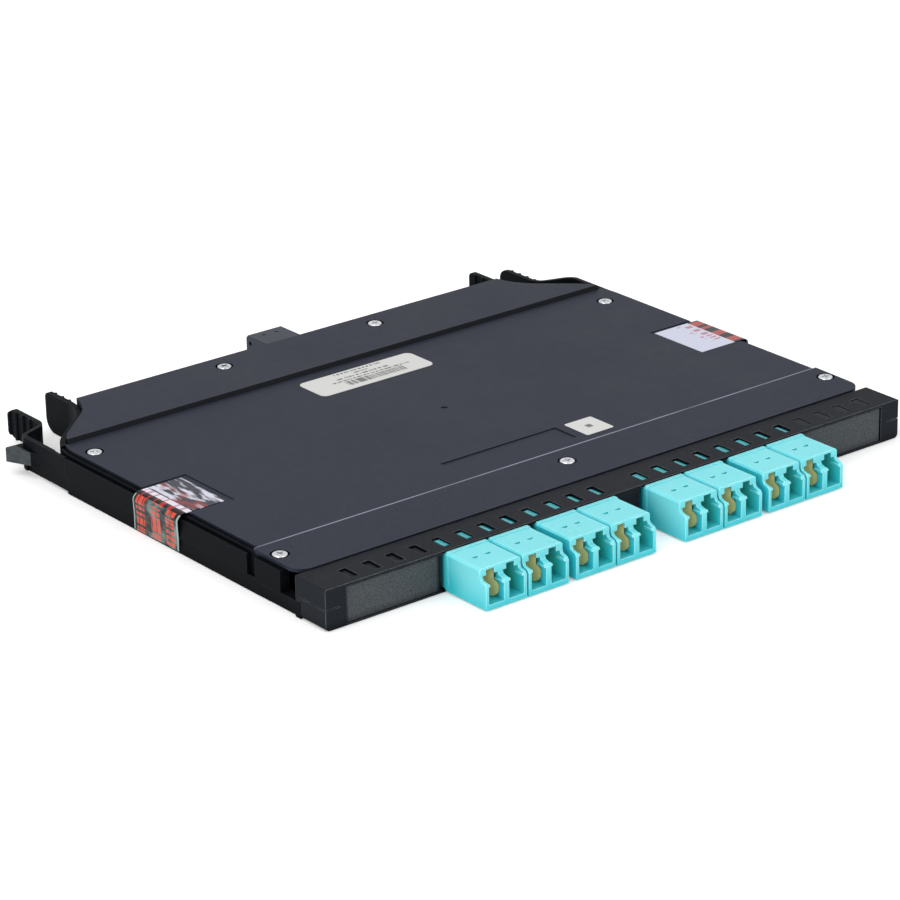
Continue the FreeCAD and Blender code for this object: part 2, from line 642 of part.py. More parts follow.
def make_tray():
    """Floor and rear wall. The side walls stand at its edges."""
    floor = body_block(WALL_T, BEZEL_DEPTH + 0.3, TRAY_REAR, 0, FLOOR_T)
    floor = floor.cut(box(-post_line(), post_line(), 0, TRAY_FRONT, -1, FLOOR_T + 1))
    floor = floor.cut(both_sides(box(-CUT, -HALF + SHELF_IN, 0, TRAY_FRONT + 8, -1, FLOOR_T + 1)))
    wall = body_block(WALL_T, 0, TRAY_REAR, 0, LEDGE_Z)
    wall = wall.common(box(-CUT, CUT, TRAY_REAR - WALL_T, TRAY_REAR, 0, LEDGE_Z))
    half = MPO_W / 2 + MPO_GAP
    opening = box(-half, half, TRAY_REAR - WALL_T - 1, TRAY_REAR + 1, FLOOR_T, CUT)
    return cut(fuse([floor, wall]), [opening])


def make_posts():
    """Posts that take the cover's screws."""
    inside = body_block(WALL_T, 0, TRAY_REAR - WALL_T, FLOOR_T, CUT)
    posts = []
    for spots, top in ((COVER_SCREWS, LEDGE_Z), (BAND_SCREWS, BAND_TOP - COVER_T)):
        for x, y in spots:
            post = facet_upright(x, y, POST_D, FLOOR_T, top, POST_SIDES).common(inside)
            posts.append(post.cut(facet_upright(x, y, PILOT_D, FLOOR_T + PILOT_STOP, CUT, POST_SIDES)))
    return Part.makeCompound(posts)


def spool(x):
    """Raised guide ring that keeps the fibres above their bend radius."""
    y, r = SPOOL_Y, SPOOL_R
    ring = facet_upright(x, y, 2 * r, FLOOR_T, SPOOL_TOP, SPOOL_SIDES)
    ring = ring.cut(facet_upright(x, y, 2 * (r - SPOOL_WALL), 0, CUT, SPOOL_SIDES))
    gap = box(x - SPOOL_SLOT / 2, x + SPOOL_SLOT / 2, y - 2 * r, y + 2 * r, FLOOR_T + PILOT_STOP, CUT)
    return cut(ring, [gap])


def make_spools():
    return Part.makeCompound([spool(s * SPOOL_X) for s in (-1, 1)])


def post_line():
    """Inner face of the end posts, from the middle."""
    return MULLION / 2 + GROUP_W + POST_WALL


# ---- latch arms ----------------------------------------------------------------------------
def make_arm():
    """Left latch arm: round root, tooth on the outside, ribbed thumb pad at the end."""
    x = -HALF
    far = ARM_CURVE.strip(0, ARM_T, ARM_PIVOT_Y + 6, PAD_END, ARM_LOW, ARM_TOP)
    near = plan_prism([(x, ARM_PIVOT_Y), (x + ARM_ROOT_T, ARM_PIVOT_Y), (x + ARM_ROOT_T, ARM_PIVOT_Y + 3),
                       (x + ARM_T, ARM_PIVOT_Y + 8), (x + ARM_T, ARM_CURVE_Y - 2), (x, ARM_CURVE_Y - 2)],
                      ARM_LOW, ARM_TOP)
    root = upright(x + ARM_PIVOT_U, ARM_PIVOT_Y, ARM_ROOT_T, ARM_LOW, ARM_TOP)
    tooth = plan_prism([(x + 0.2, TOOTH_Y0), (x - TOOTH_OUT, TOOTH_Y1), (x - TOOTH_OUT + 0.5, TOOTH_Y1 + 0.5),
                        (x + 2.2, TOOTH_Y1 + 0.1), (x + 0.9, TOOTH_Y1 - 2)], TOOTH_LOW, TOOTH_TOP)
    ribs = [facet_upright(x + PAD_U, PAD_END - PAD_RIB_R - k * PAD_RIB_PITCH, 2 * PAD_RIB_R, PAD_LOW, ARM_TOP, 8)
            for k in range(PAD_RIBS)]
    arm = fuse([far, near, root] + ribs)
    sunk = box(x - 1, x + RAIL_SINK, ARM_PIVOT_Y - 2, ARM_CURVE_Y - 0.5, ARM_LOW - 1, RAIL_BAND_Z)
    arm = cut(arm, [sunk])
    keep = side_prism([(0, ARM_LOW), (ARM_CURVE_Y, ARM_LOW), (PAD_FLAT_Y, PAD_LOW), (PAD_END, PAD_LOW),
                       (PAD_END, PAD_TOP), (PAD_FLAT_Y, PAD_TOP), (ARM_CURVE_Y, ARM_TOP), (0, ARM_TOP)], -CUT, CUT)
    keep = keep.makeFillet(PAD_R, [e for e in keep.Edges if runs_along(e, "x") and e.CenterOfMass.y > PAD_END - 1])
    return fuse([arm.common(keep), tooth])


# ---- cover ---------------------------------------------------------------------------------
def cover_blank():
    t = COVER_T
    riser = BAND_Y + BAND_SLOPE + t
    deck = [(BEND_Y, LEDGE_Z), (riser, LEDGE_Z), (riser, COVER_TOP), (BEND_Y, COVER_TOP)]
    main = side_prism(deck, -HALF, HALF).common(body_block(COVER_INSET, 0, CUT, 0, CUT))
    apron = side_prism([(COVER_FRONT, LEDGE_Z), (BEND_Y, LEDGE_Z), (BEND_Y, COVER_TOP),
                        (COVER_FRONT, COVER_TOP - COVER_FRONT_DROP)], -HALF + RAIL_OUT + WING_INSET,
                       HALF - RAIL_OUT - WING_INSET)
    band_side = [(BAND_Y, LEDGE_Z), (BAND_Y, COVER_TOP - 0.3), (BAND_Y + BAND_SLOPE, BAND_TOP),
                 (BAND_REAR, BAND_TOP), (BAND_REAR, LEDGE_Z + 0.1)]
    band = side_prism(band_side, -HALF, HALF)
    band = band.common(body_block(TAB_T + BAND_GAP, 0, CUT, 0, CUT))
    hollow = box(-HALF, HALF, riser, BAND_REAR - BAND_REAR_T, LEDGE_Z - 1, BAND_TOP - t)
    hollow = hollow.common(body_block(TAB_T + BAND_GAP + t, 0, CUT, 0, CUT))
    beside_tab = body_block(0, 0, CUT, LEDGE_Z, CUT).cut(body_block(TAB_T + BAND_GAP, 0, CUT, 0, CUT))
    beside_tab = beside_tab.common(box(-CUT, CUT, TAB_ROOT_Y - BAND_GAP, CUT, 0, CUT))
    return fuse([main, apron, band]).cut([hollow, beside_tab])


def screw_seats():
    """Every cover screw with the height of its seat."""
    low = [(x, y, COVER_TOP - SCREW_RECESS) for x, y in COVER_SCREWS]
    return low + [(x, y, BAND_TOP - SCREW_RECESS) for x, y in BAND_SCREWS]


def make_cover():
    cover = cover_blank()
    front = [e for e in cover.Edges if runs_along(e, "z") and e.CenterOfMass.y < COVER_FRONT + 0.1]
    cover = cover.makeFillet(COVER_CORNER_R, front)
    lip = body_block(WALL_T + 0.25, BEND_Y + 4, REAR_SCREW_Y - 6, LEDGE_Z - 1.3, LEDGE_Z + 0.1)
    lip = lip.cut(body_block(WALL_T + 1.25, 0, CUT, 0, CUT))
    cover = fuse([cover, lip])
    tools = []
    for x, y, seat in screw_seats():
        tools.append(facet_upright(x, y, SCREW_RECESS_D, seat, CUT, RECESS_SIDES))
        tools.append(facet_upright(x, y, SCREW_HOLE_D, 0, CUT, POST_SIDES))
    tools.append(box(PLAQUE[0], PLAQUE[1], PLAQUE[2], PLAQUE[3], COVER_TOP - PLAQUE_DEPTH, CUT))
    for side, s in (("left", -1), ("right", 1)):
        x0, x1 = sorted((s * (HALF + 1), s * (HALF - SEAL_RECESS_IN[side])))
        tools.append(box(x0, x1, SEAL_RECESS_Y[0], SEAL_RECESS_Y[1], COVER_TOP - LABEL_RECESS, CUT))
    tools.append(facet_upright(GATE_SPOT[0], GATE_SPOT[1], GATE_D, COVER_TOP - PLAQUE_DEPTH, CUT, POST_SIDES))
    return cut(cover, tools)


# ---- labels --------------------------------------------------------------------------------
def flat_label(spot, corner):
    """A label on the cover, with its corners turned."""
    return plan_prism(clipped_rect(spot[0], spot[1], spot[2], spot[3], corner), COVER_TOP, COVER_TOP + LABEL_T)


def make_seal(side):
    """Wrap-round seal, left-handed: flat on the cover, then a free bend down to the side rail."""
    x, z, r = -HALF, COVER_TOP - LABEL_RECESS, SEAL_BEND_R

    def path(t):
        start = V(x + SEAL_TOP_IN[side], 0, z + t)
        turn = V(x - SEAL_OUT + r, 0, z + t)
        out = V(x - SEAL_OUT - t, 0, z - r)
        slant = (r + t) * math.sqrt(0.5)
        middle = V(x - SEAL_OUT + r - slant, 0, z - r + slant)
        rest = V(x - SEAL_GAP - t, 0, RAIL_BAND_Z)
        low = V(x + RAIL_SINK - SEAL_GAP - t, 0, SEAL_LOW)
        return [Part.LineSegment(start, turn).toShape(), Part.Arc(turn, middle, out).toShape(),
                Part.LineSegment(out, rest).toShape(), Part.LineSegment(rest, low).toShape()]

    inner, outer = path(0), path(LABEL_T)
    ends = [Part.LineSegment(inner[k].Vertexes[k].Point, outer[k].Vertexes[k].Point).toShape() for k in (0, -1)]
    face = Part.Face(Part.Wire(Part.__sortEdges__(inner + outer + ends)))
    face.translate(V(0, SEAL_Y[0], 0))
    strip = face.extrude(V(0, SEAL_Y[1] - SEAL_Y[0] + SEAL_LEAN, 0))
    front, rear = SEAL_Y
    lean = side_prism([(front, z + 1), (front, z - 0.5), (front + SEAL_LEAN, 0), (rear + SEAL_LEAN, 0),
                       (rear, z - 0.5), (rear, z + 1)], -CUT, 0)
    return strip.common(lean)


# ---- screws --------------------------------------------------------------------------------
def make_screw(x, y, seat):
    head = facet_upright(x, y, SCREW_HEAD_D, seat, seat + SCREW_HEAD_H, HEAD_SIDES)
    shank = facet_upright(x, y, SCREW_D, seat - SCREW_L, seat + 0.1, POST_SIDES)
    return fuse([head, shank])


# ---- MPO adapter and the connectors inside -------------------------------------------------
def make_mpo_adapter():
    h = MPO_W / 2
    p = MPO_PORT_W / 2
    throat = MPO_THROAT[0]
    body = front_prism(clipped_rect(-h, h, MPO_BASE, MPO_TOP, MPO_EDGE), MPO_FRONT, MPO_REAR)
    ear_y = TRAY_REAR - WALL_T - MPO_EAR_T - 0.05
    ears = box(-h - MPO_EAR, h + MPO_EAR, ear_y, ear_y + MPO_EAR_T, MPO_BASE + FLOOR_T, MPO_TOP - 0.4)
    body = fuse([body, ears])
    z0, z1 = MPO_PORT_Z
    tools = [box(-p, p, MPO_WEB[1], MPO_REAR + 1, z0, z1),
             box(-p, p, MPO_FRONT - 1, MPO_WEB[0], z0, z1),
             box(-throat, throat, MPO_WEB[0] - 1, MPO_WEB[1] + 1, *MPO_THROAT[1:]),
             box(-MPO_KEY_W / 2, MPO_KEY_W / 2, MPO_WEB[1], MPO_REAR + 1, z1 - 0.1, z1 + MPO_KEY_H),
             box(-MPO_KEY_W / 2, MPO_KEY_W / 2, MPO_FRONT - 1, MPO_WEB[0], z1 - 0.1, z1 + MPO_KEY_H)]
    nick_y = (MPO_REAR - MPO_NICK_IN[0], MPO_REAR - MPO_NICK_IN[1])
    tools += both_sides(box(*MPO_NICK, *nick_y, MPO_TOP - 0.2, CUT))
    ring = facet_ring(MPO_REAR - MPO_HOLE_IN[0], MPO_TOP - MPO_HOLE_IN[1], MPO_HOLE_D, MPO_HOLE_SIDES)
    return cut(body, tools + [side_prism(ring, -h - 1, 2 - h)])


def tapered_block(x, z, y0, y1, start, end):
    """A square block along Y whose half width goes from start to end."""
    plan = plan_prism([(x - start, y0), (x + start, y0), (x + end, y1), (x - end, y1)], z - start, z + start)
    side = side_prism([(y0, z - start), (y0, z + start), (y1, z + end), (y1, z - end)], x - start, x + start)
    return plan.common(side)


def make_mpo_connector():
    z0, z1 = MPO_PORT_Z
    mid = (z0 + z1) / 2
    half = MPO_PORT_W / 2 - PLUG_FIT
    outline = clipped_rect(-half, half, z0 + PLUG_FIT, z1 - PLUG_FIT, SHELL_EDGE)
    shell = front_prism(outline, MPO_FRONT - SHELL_LEN, MPO_WEB[0] - 0.4)
    w, h = MPO_FERRULE
    ferrule = box(-w, w, MPO_WEB[0] - 1, MPO_WEB[1] + MPO_FERRULE_OUT, mid - h, mid + h)
    w, h = NECK_HALF
    neck = box(-w, w, MPO_FRONT - NECK_END, MPO_FRONT - SHELL_LEN + 1, mid - h, mid + h)
    boot = tapered_block(0, mid, MPO_FRONT - BOOT_START, MPO_FRONT - BOOT_END, BOOT_HALF, RIBBON_D / 2 + BOOT_WALL)
    body = fuse([shell, ferrule, neck, boot])
    bore = facet_rod_y(0, mid, RIBBON_D, MPO_FRONT - BOOT_END - 1, MPO_FRONT - RIBBON_END, RIBBON_SIDES)
    return cut(body, [bore])


def lc_plug(x):
    """Short LC plug: ferrule, square body, latch lever and boot."""
    h = PLUG_W / 2
    y0 = BARREL_REAR + 0.6
    body = box(x - h, x + h, y0, y0 + PLUG_LEN, CORD_Z - h + 0.1, CORD_Z + h - 0.1)
    ferrule = facet_rod_y(x, CORD_Z, FERRULE_D, -0.85, y0 + 1, FERRULE_SIDES)
    lever = side_prism([(y0 + 1.0, CORD_Z + h - 0.3), (y0 + 1.0, CORD_Z + h + 0.4), (y0 + 10.0, CORD_Z + h + 2.6),
                        (y0 + 11.0, CORD_Z + h + 2.6), (y0 + 3.0, CORD_Z + h - 0.3)], x - 1.1, x + 1.1)
    boot = tapered_block(x, CORD_Z, y0 + PLUG_LEN - 0.2, y0 + PLUG_LEN + BOOT_LEN, 1.9, 1.3)
    return fuse([body, ferrule, lever, boot])


def plug_pair(x):
    """The two plugs of an adapter and the clip whose stem carries both fibres."""
    pair = [lc_plug(x + s * PORT_PITCH / 2) for s in (-1, 1)]
    clip = box(x - PORT_PITCH / 2 - 1.2, x + PORT_PITCH / 2 + 1.2, PAIR_END - 3.0, PAIR_END,
               CORD_Z - 1.6, CORD_Z + 1.6)
    return cut(fuse(pair + [clip]), [tail_socket(x, PAIR_END - TAIL_SEAT, PAIR_END + 1)])


def tail_socket(x, y0, y1):
    return box(x - TAIL_W / 2, x + TAIL_W / 2, y0, y1, CORD_Z - TAIL_H / 2, CORD_Z + TAIL_H / 2)


def cord(name, points, width, height):
    """A flat cord: straight runs joined by the largest tangent arcs that they allow."""
    pts = [V(*p) for p in points]
    edges, radii = [], []
    at = pts[0]
    for a, b, c in zip(pts, pts[1:], pts[2:]):
        one, two = (b - a), (c - b)
        turn = one.getAngle(two)
        radius = 0.45 * min(one.Length, two.Length) / math.tan(turn / 2)
        back = radius * math.tan(turn / 2)
        u, w = V(one).normalize(), V(two).normalize()
        start, end = b - u * back, b + w * back
        middle = b + (w - u).normalize() * (radius / math.cos(turn / 2) - radius)
        edges.append(Part.LineSegment(at, start).toShape())
        edges.append(Part.Arc(start, middle, end).toShape())
        radii.append(radius)
        at = end
    edges.append(Part.LineSegment(at, pts[-1]).toShape())
    path = Part.Wire(edges)
    p, w, h = pts[0], width / 2, height / 2
    corners = [V(p.x + a, p.y, p.z + b) for a, b in ((-w, -h), (w, -h), (w, h), (-w, h), (-w, -h))]
    swept = path.makePipeShell([Part.makePolygon(corners)], True, False)
    share = swept.Volume / (width * height * path.Length)
    print(name, "length %.1f mm, radii" % path.Length, [round(r, 1) for r in radii], "volume share %.3f" % share)
    return swept


def tail_slot(number):
    """Where a tail enters the fan-out block."""
    return (number - (len(ADAPTER_CELLS) - 1) / 2) * FANOUT_PITCH


def make_tail(number):
    """Fibre tail of one adapter, from its plug pair to the fan-out block."""
    x, slot = adapter_x(ADAPTER_CELLS[number]), tail_slot(number)
    y0, y3 = PAIR_END - TAIL_SEAT, FANOUT[2] + TAIL_SEAT
    y1, y2 = y0 + TAIL_RUN, y3 - TAIL_RUN
    middle = ((x + slot) / 2, (y1 + y2) / 2 + TAIL_BOW, CORD_Z)
    return cord("fibre tail %d" % (number + 1),
                [(x, y0, CORD_Z), (x, y1, CORD_Z), middle, (slot, y2, CORD_Z), (slot, y3, CORD_Z)],
                TAIL_W, TAIL_H)


def make_fanout():
    mid = sum(MPO_PORT_Z) / 2
    x0, x1, y0, y1 = FANOUT
    block = plan_prism(clipped_rect(x0, x1, y0, y1, 1.0), FLOOR_T, mid + 2.5)
    last = tail_slot(len(ADAPTER_CELLS) - 1) + TAIL_W / 2
    socket = box(-last, last, y0 - 1, y0 + TAIL_SEAT, CORD_Z - TAIL_H / 2, CORD_Z + TAIL_H / 2)
    return cut(block, [socket, facet_rod_y(0, mid, RIBBON_D, y1 - RIBBON_SEAT, y1 + 1, RIBBON_SIDES)])


def make_ribbon():
    mid = sum(MPO_PORT_Z) / 2
    return facet_rod_y(0, mid, RIBBON_D, FANOUT[3] - RIBBON_SEAT, MPO_FRONT - RIBBON_END, RIBBON_SIDES)


# ---- write every piece ---------------------------------------------------------------------
def placed(shape, x):
    copy = shape.copy()
    copy.translate(V(x, 0, 0))
    return copy


def port_pieces():
    """Each adapter with its two leaves and its plug pair."""
    pieces = {}
    adapter = adapter_at_origin()
    leaves = {"left": leaf_at_origin(-1), "right": leaf_at_origin(1)}
    for n, cell in enumerate(ADAPTER_CELLS):
        x = adapter_x(cell)
        pieces["lc_adapter_%d" % (n + 1)] = placed(adapter, x)
        for side, leaf in leaves.items():
            pieces["shutter_%s_%d" % (side, n + 1)] = placed(leaf, x)
        pieces["plug_pair_%d" % (n + 1)] = plug_pair(x)
    return pieces


def all_pieces():
    wall, arm = side_wall(), make_arm()
    pieces = {
        "front_bezel": make_bezel(),
        "base_tray": make_tray(),
        "side_wall_left": wall,
        "side_wall_right": mirrored(wall),
        "screw_posts": make_posts(),
        "fibre_spools": make_spools(),
        "top_cover": make_cover(),
        "blank_plate_left": make_blank(BLANK_CELLS[0], 0.5, 0.35),
        "blank_plate_right": make_blank(BLANK_CELLS[1], 0.1, 0.1),
        "latch_arm_left": arm,
        "latch_arm_right": mirrored(arm),
        "mpo_adapter": make_mpo_adapter(),
        "mpo_connector": make_mpo_connector(),
        "fanout_block": make_fanout(),
        "ribbon_tube": make_ribbon(),
        "fibre_tails": Part.makeCompound([make_tail(n) for n in range(len(ADAPTER_CELLS))]),
        "rating_label": flat_label(RATING_LABEL, 1.5),
        "square_label": flat_label(SQUARE_LABEL, 0.8),
        "wrap_seal_left": make_seal("left"),
        "wrap_seal_right": mirrored(make_seal("right")),
        "cover_screws": Part.makeCompound([make_screw(*spot) for spot in screw_seats()]),
    }
    pieces.update(port_pieces())
    return pieces


os.makedirs("parts", exist_ok=True)
for name, shape in all_pieces().items():
    shape.exportStep(os.path.join("parts", name + ".step"))
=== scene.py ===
import bpy
import bmesh
import json
import math
from mathutils import Matrix, Vector

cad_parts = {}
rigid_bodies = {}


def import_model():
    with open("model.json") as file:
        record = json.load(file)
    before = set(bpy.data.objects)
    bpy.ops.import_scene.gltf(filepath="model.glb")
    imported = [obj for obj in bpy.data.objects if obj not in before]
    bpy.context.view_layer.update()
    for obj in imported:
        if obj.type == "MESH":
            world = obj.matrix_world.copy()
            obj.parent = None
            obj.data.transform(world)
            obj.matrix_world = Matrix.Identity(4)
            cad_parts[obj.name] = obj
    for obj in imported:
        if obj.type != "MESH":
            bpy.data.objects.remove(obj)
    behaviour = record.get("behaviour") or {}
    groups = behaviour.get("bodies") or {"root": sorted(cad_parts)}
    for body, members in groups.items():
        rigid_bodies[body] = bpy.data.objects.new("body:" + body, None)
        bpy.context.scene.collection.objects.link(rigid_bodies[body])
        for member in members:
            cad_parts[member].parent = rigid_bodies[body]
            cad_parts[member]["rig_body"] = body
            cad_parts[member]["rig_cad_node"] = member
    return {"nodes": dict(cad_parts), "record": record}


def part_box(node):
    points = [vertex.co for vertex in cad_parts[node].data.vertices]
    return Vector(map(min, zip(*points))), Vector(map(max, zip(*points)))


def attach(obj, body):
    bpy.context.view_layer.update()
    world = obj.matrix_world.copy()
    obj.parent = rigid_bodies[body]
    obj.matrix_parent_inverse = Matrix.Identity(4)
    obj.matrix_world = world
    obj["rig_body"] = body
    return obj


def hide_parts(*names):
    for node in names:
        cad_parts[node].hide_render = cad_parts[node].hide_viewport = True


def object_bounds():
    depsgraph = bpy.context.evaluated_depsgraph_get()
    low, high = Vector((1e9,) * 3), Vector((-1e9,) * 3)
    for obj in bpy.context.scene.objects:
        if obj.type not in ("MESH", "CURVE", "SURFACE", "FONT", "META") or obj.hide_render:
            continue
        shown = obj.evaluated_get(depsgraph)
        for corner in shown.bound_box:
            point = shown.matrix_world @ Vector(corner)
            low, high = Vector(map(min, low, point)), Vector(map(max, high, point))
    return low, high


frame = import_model()
cad_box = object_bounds()

NODES = frame["nodes"]
MM = 0.001

# Levels of the studio.
SKY_LEVEL = 0.7
KEY_POWER = 6.0
FILL_POWER = 7.0
SIDE_POWER = 8.0
FLOOR_LIFT = 0.22

# Camera over the left front corner.
CAMERA_PLACE = (-0.57435, -0.66207, 0.37708)
CAMERA_AZIMUTH = math.radians(38.03)
CAMERA_DROP = math.radians(22.05)
CAMERA_ROLL = math.radians(-1.13)
LENS = 151.1
SENSOR = 36.0

# How much each moulding's edges are broken, in millimetres, and with how many facets.
SHELL_BREAK = 0.18
BEZEL_BREAK = 0.14
ADAPTER_BREAK = 0.16
ARM_BREAK = 0.2
BREAK_FACETS = 2
SHARP_FROM = math.radians(32.0)

# Ridge of the lid, back from the front face, in millimetres.
BEND_Y = 30.5
# Painted highlight along the ridge: full up to the first distance off it, gone at the second, and only on
# faces at most the lowest depth under the top, in millimetres.
BEND_HIGHLIGHT = (0.1, 0.32)
BEND_LOWEST = 1.5
# The steep step up to the lid's rear band gets painted shade.
STEP_SHADE_Y = (117.25, 118.05)

# Domed screws of the lid, in millimetres.
HEAD_R = 1.98
HEAD_H = 0.7
HEAD_ROUND = 0.72 * HEAD_H
HEAD_FACETS = 5
CROSS_W = 0.5
CROSS_L = 2.2
CROSS_DEPTH = 0.4
SHANK_R = 1.1
SHANK_L = 6.5
TIP_L = 0.9
TIP_SHARE = 0.3
# Each screw was tightened to another angle, its number's share of turns on from the start.
FIRST_TURN = 0.4
NEXT_TURN = 1.3

# Half-moon marks on top of each adapter, from its middle and from the bezel's face.
MARK_X = (-2.5, 1.5)
MARK_Y = -6.5
MARK_R = 0.95
MARK_DEPTH = 0.45
NOSE_TOP = 10.35

# What is seen through the lip's windows lies behind this.
BEHIND_Y = 1.0

# Corner radii of the two labels.
RATING_CORNER = 1.9
SQUARE_CORNER = 0.5

# The latch arms' teeth, which stand out past the walls.
TOOTH_FROM_X = 95.8
TOOTH_TO_Z = 7.2

# The seals' film: its lower edge sits further back than its upper edge, and its edges carry a painted
# highlight.
FILM_LEAN = 2.4
FILM_EDGE_HIGHLIGHT = 0.45
LETTER_ROWS = 3
# Its printed patch on the lid, in from the side of the cassette.
STREAK_STRIP = (2.6, 4.4)
RUDDY_CLOUD = (3.6, 9.5)
PALE_MARGIN = 5.3
PALE_DASHES = ((6.0, 8.2, 620.0, 0.5), (9.0, 10.2, 900.0, 0.56))
DASHES_START = 4.5
DASHES_STOP = 2.0

# Reach of the rubbed edges with their painted highlight, and how far off a wall may stand and still cast
# painted shade into a hollow, in millimetres.
RUB_AND_HIGHLIGHT_REACH = 0.3
HOLLOW_SHADE_REACH = 3.0
PORT_SHADE_REACH = 8.0
DUST = (0.42, 0.43, 0.46, 1.0)


def tint(red, green, blue):
    """Display colour from 0 to 255, as the shader wants it."""
    linear = []
    for part in (red, green, blue):
        c = part / 255.0
        linear.append(c / 12.92 if c <= 0.04045 else ((c + 0.055) / 1.055) ** 2.4)
    return (linear[0], linear[1], linear[2], 1.0)


PAPER_WHITE = tint(208, 208, 206)


# ---- picking and shaping ----------------------------------------------------------------
def deselect_everything():
    if bpy.context.object and bpy.context.object.mode != "OBJECT":
        bpy.ops.object.mode_set(mode="OBJECT")
    bpy.ops.object.select_all(action="DESELECT")


def take(piece):
    deselect_everything()
    bpy.context.view_layer.objects.active = piece
    piece.select_set(True)


def settle(piece, name):
    """Leave the piece at the origin with its place in its mesh."""
    take(piece)
    bpy.ops.object.transform_apply(location=True, rotation=True, scale=True)
    piece.name = name
    piece.data.name = name
    return piece


def finish_modifiers(piece):
    take(piece)
    for modifier in list(piece.modifiers):
        bpy.ops.object.modifier_apply(modifier=modifier.name)


def turn_outwards(piece):
    take(piece)
    bpy.ops.object.mode_set(mode="EDIT")
    bpy.ops.mesh.select_all(action="SELECT")
    bpy.ops.mesh.remove_doubles(threshold=1e-7)
    bpy.ops.mesh.normals_make_consistent(inside=False)
    bpy.ops.object.mode_set(mode="OBJECT")


def pick_faces(piece, wanted):
    """In edit mode with nothing else selected, pick the faces that the test accepts."""
    bpy.ops.mesh.select_mode(type="FACE")
    bpy.ops.mesh.select_all(action="DESELECT")
    mesh = bmesh.from_edit_mesh(piece.data)
    for face in mesh.faces:
        face.select_set(wanted(face))
    bmesh.update_edit_mesh(piece.data)


def pick_edges(piece, wanted):
    bpy.ops.mesh.select_mode(type="EDGE")
    bpy.ops.mesh.select_all(action="DESELECT")
    mesh = bmesh.from_edit_mesh(piece.data)
    for edge in mesh.edges:
        edge.select_set(wanted(edge))
    bmesh.update_edit_mesh(piece.data)


def copy_of(piece, name, shift, turn):
    """A copy with a mesh of its own, turned about its upright axis and moved by the shift."""
    take(piece)
    bpy.ops.object.duplicate()
    twin = bpy.context.object
    twin.location = shift
    twin.rotation_euler = (0.0, 0.0, turn)
    return settle(twin, name)


def body_of(node):
    return NODES[node]["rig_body"]


def carve(piece, cutters):
    """Take the cutters' shapes out of the piece, and drop them."""
    for cutter in cutters:
        take(piece)
        bite = piece.modifiers.new("bite", "BOOLEAN")
        bite.operation = "DIFFERENCE"
        bite.solver = "EXACT"
        bite.object = cutter
        finish_modifiers(piece)
        take(cutter)
        bpy.ops.object.delete()


def smooth_over(piece, angle=40.0):
    """Round shading over the broken edges, with the large faces kept flat."""
    take(piece)
    bpy.ops.object.shade_smooth_by_angle(angle=math.radians(angle))
    flatten = piece.modifiers.new("flat faces", "WEIGHTED_NORMAL")
    flatten.weight = 100
    flatten.keep_sharp = True
    finish_modifiers(piece)


def dressed_copy(node, name, edge_break, cutters=()):
    """A merged copy of a CAD moulding with its sharp edges broken, which stands for the node."""
    take(NODES[node])
    bpy.ops.object.duplicate()
    piece = bpy.context.object
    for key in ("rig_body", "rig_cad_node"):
        piece.pop(key, None)
    bpy.ops.object.parent_clear(type="CLEAR_KEEP_TRANSFORM")
    bpy.ops.mesh.customdata_custom_splitnormals_clear()
    bpy.ops.object.mode_set(mode="EDIT")
    bpy.ops.mesh.select_mode(type="VERT")
    bpy.ops.mesh.select_all(action="SELECT")
    bpy.ops.mesh.remove_doubles(threshold=2e-6)
    bpy.ops.mesh.select_all(action="SELECT")
    bpy.ops.mesh.dissolve_limited(angle_limit=math.radians(0.6))
    bpy.ops.object.mode_set(mode="OBJECT")
    bevel = piece.modifiers.new("edge break", "BEVEL")
    bevel.width = edge_break * MM
    bevel.segments = BREAK_FACETS
    bevel.limit_method = "ANGLE"
    bevel.angle_limit = SHARP_FROM
    bevel.use_clamp_overlap = True
    finish_modifiers(piece)
    carve(piece, cutters)
    smooth_over(piece)
    settle(piece, name)
    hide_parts(node)
    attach(piece, body_of(node))
    return piece


# ---- shared effects ----------------------------------------------------------------------
def new_group(name, inputs, outputs):
    group = bpy.data.node_groups.new(name, "ShaderNodeTree")
    for socket, kind, start in inputs:
        made = group.interface.new_socket(name=socket, in_out="INPUT", socket_type=kind)
        if start is not None:
            made.default_value = start
    for socket, kind in outputs:
        group.interface.new_socket(name=socket, in_out="OUTPUT", socket_type=kind)
    group.nodes.new("NodeGroupInput").name = "in"
    group.nodes.new("NodeGroupOutput").name = "out"
    return group


def join(tree, start, socket, end, to):
    tree.links.new(start.outputs[socket], end.inputs[to])


def noise(tree, vector, scale, detail=4.0, roughness=0.6):
    node = tree.nodes.new("ShaderNodeTexNoise")
    node.inputs["Scale"].default_value = scale
    node.inputs["Detail"].default_value = detail
    node.inputs["Roughness"].default_value = roughness
    tree.links.new(vector, node.inputs["Vector"])
    return node


def spread(tree, value, low, high, to_low=0.0, to_high=1.0):
    node = tree.nodes.new("ShaderNodeMapRange")
    node.inputs["From Min"].default_value = low
    node.inputs["From Max"].default_value = high
    node.inputs["To Min"].default_value = to_low
    node.inputs["To Max"].default_value = to_high
    tree.links.new(value, node.inputs["Value"])
    return node.outputs["Result"]


def sum_up(tree, kind, a, b=0.0):
    node = tree.nodes.new("ShaderNodeMath")
    node.operation = kind
    for slot, value in enumerate((a, b)):
        if isinstance(value, (int, float)):
            node.inputs[slot].default_value = value
        else:
            tree.links.new(value, node.inputs[slot])
    return node.outputs["Value"]


def blend_colours(tree, factor, a, b):
    node = tree.nodes.new("ShaderNodeMix")
    node.data_type = "RGBA"
    for socket, value in ((node.inputs[0], factor), (node.inputs[6], a), (node.inputs[7], b)):
        if isinstance(value, (int, float, tuple)):
            socket.default_value = value
        else:
            tree.links.new(value, socket)
    return node.outputs[2]


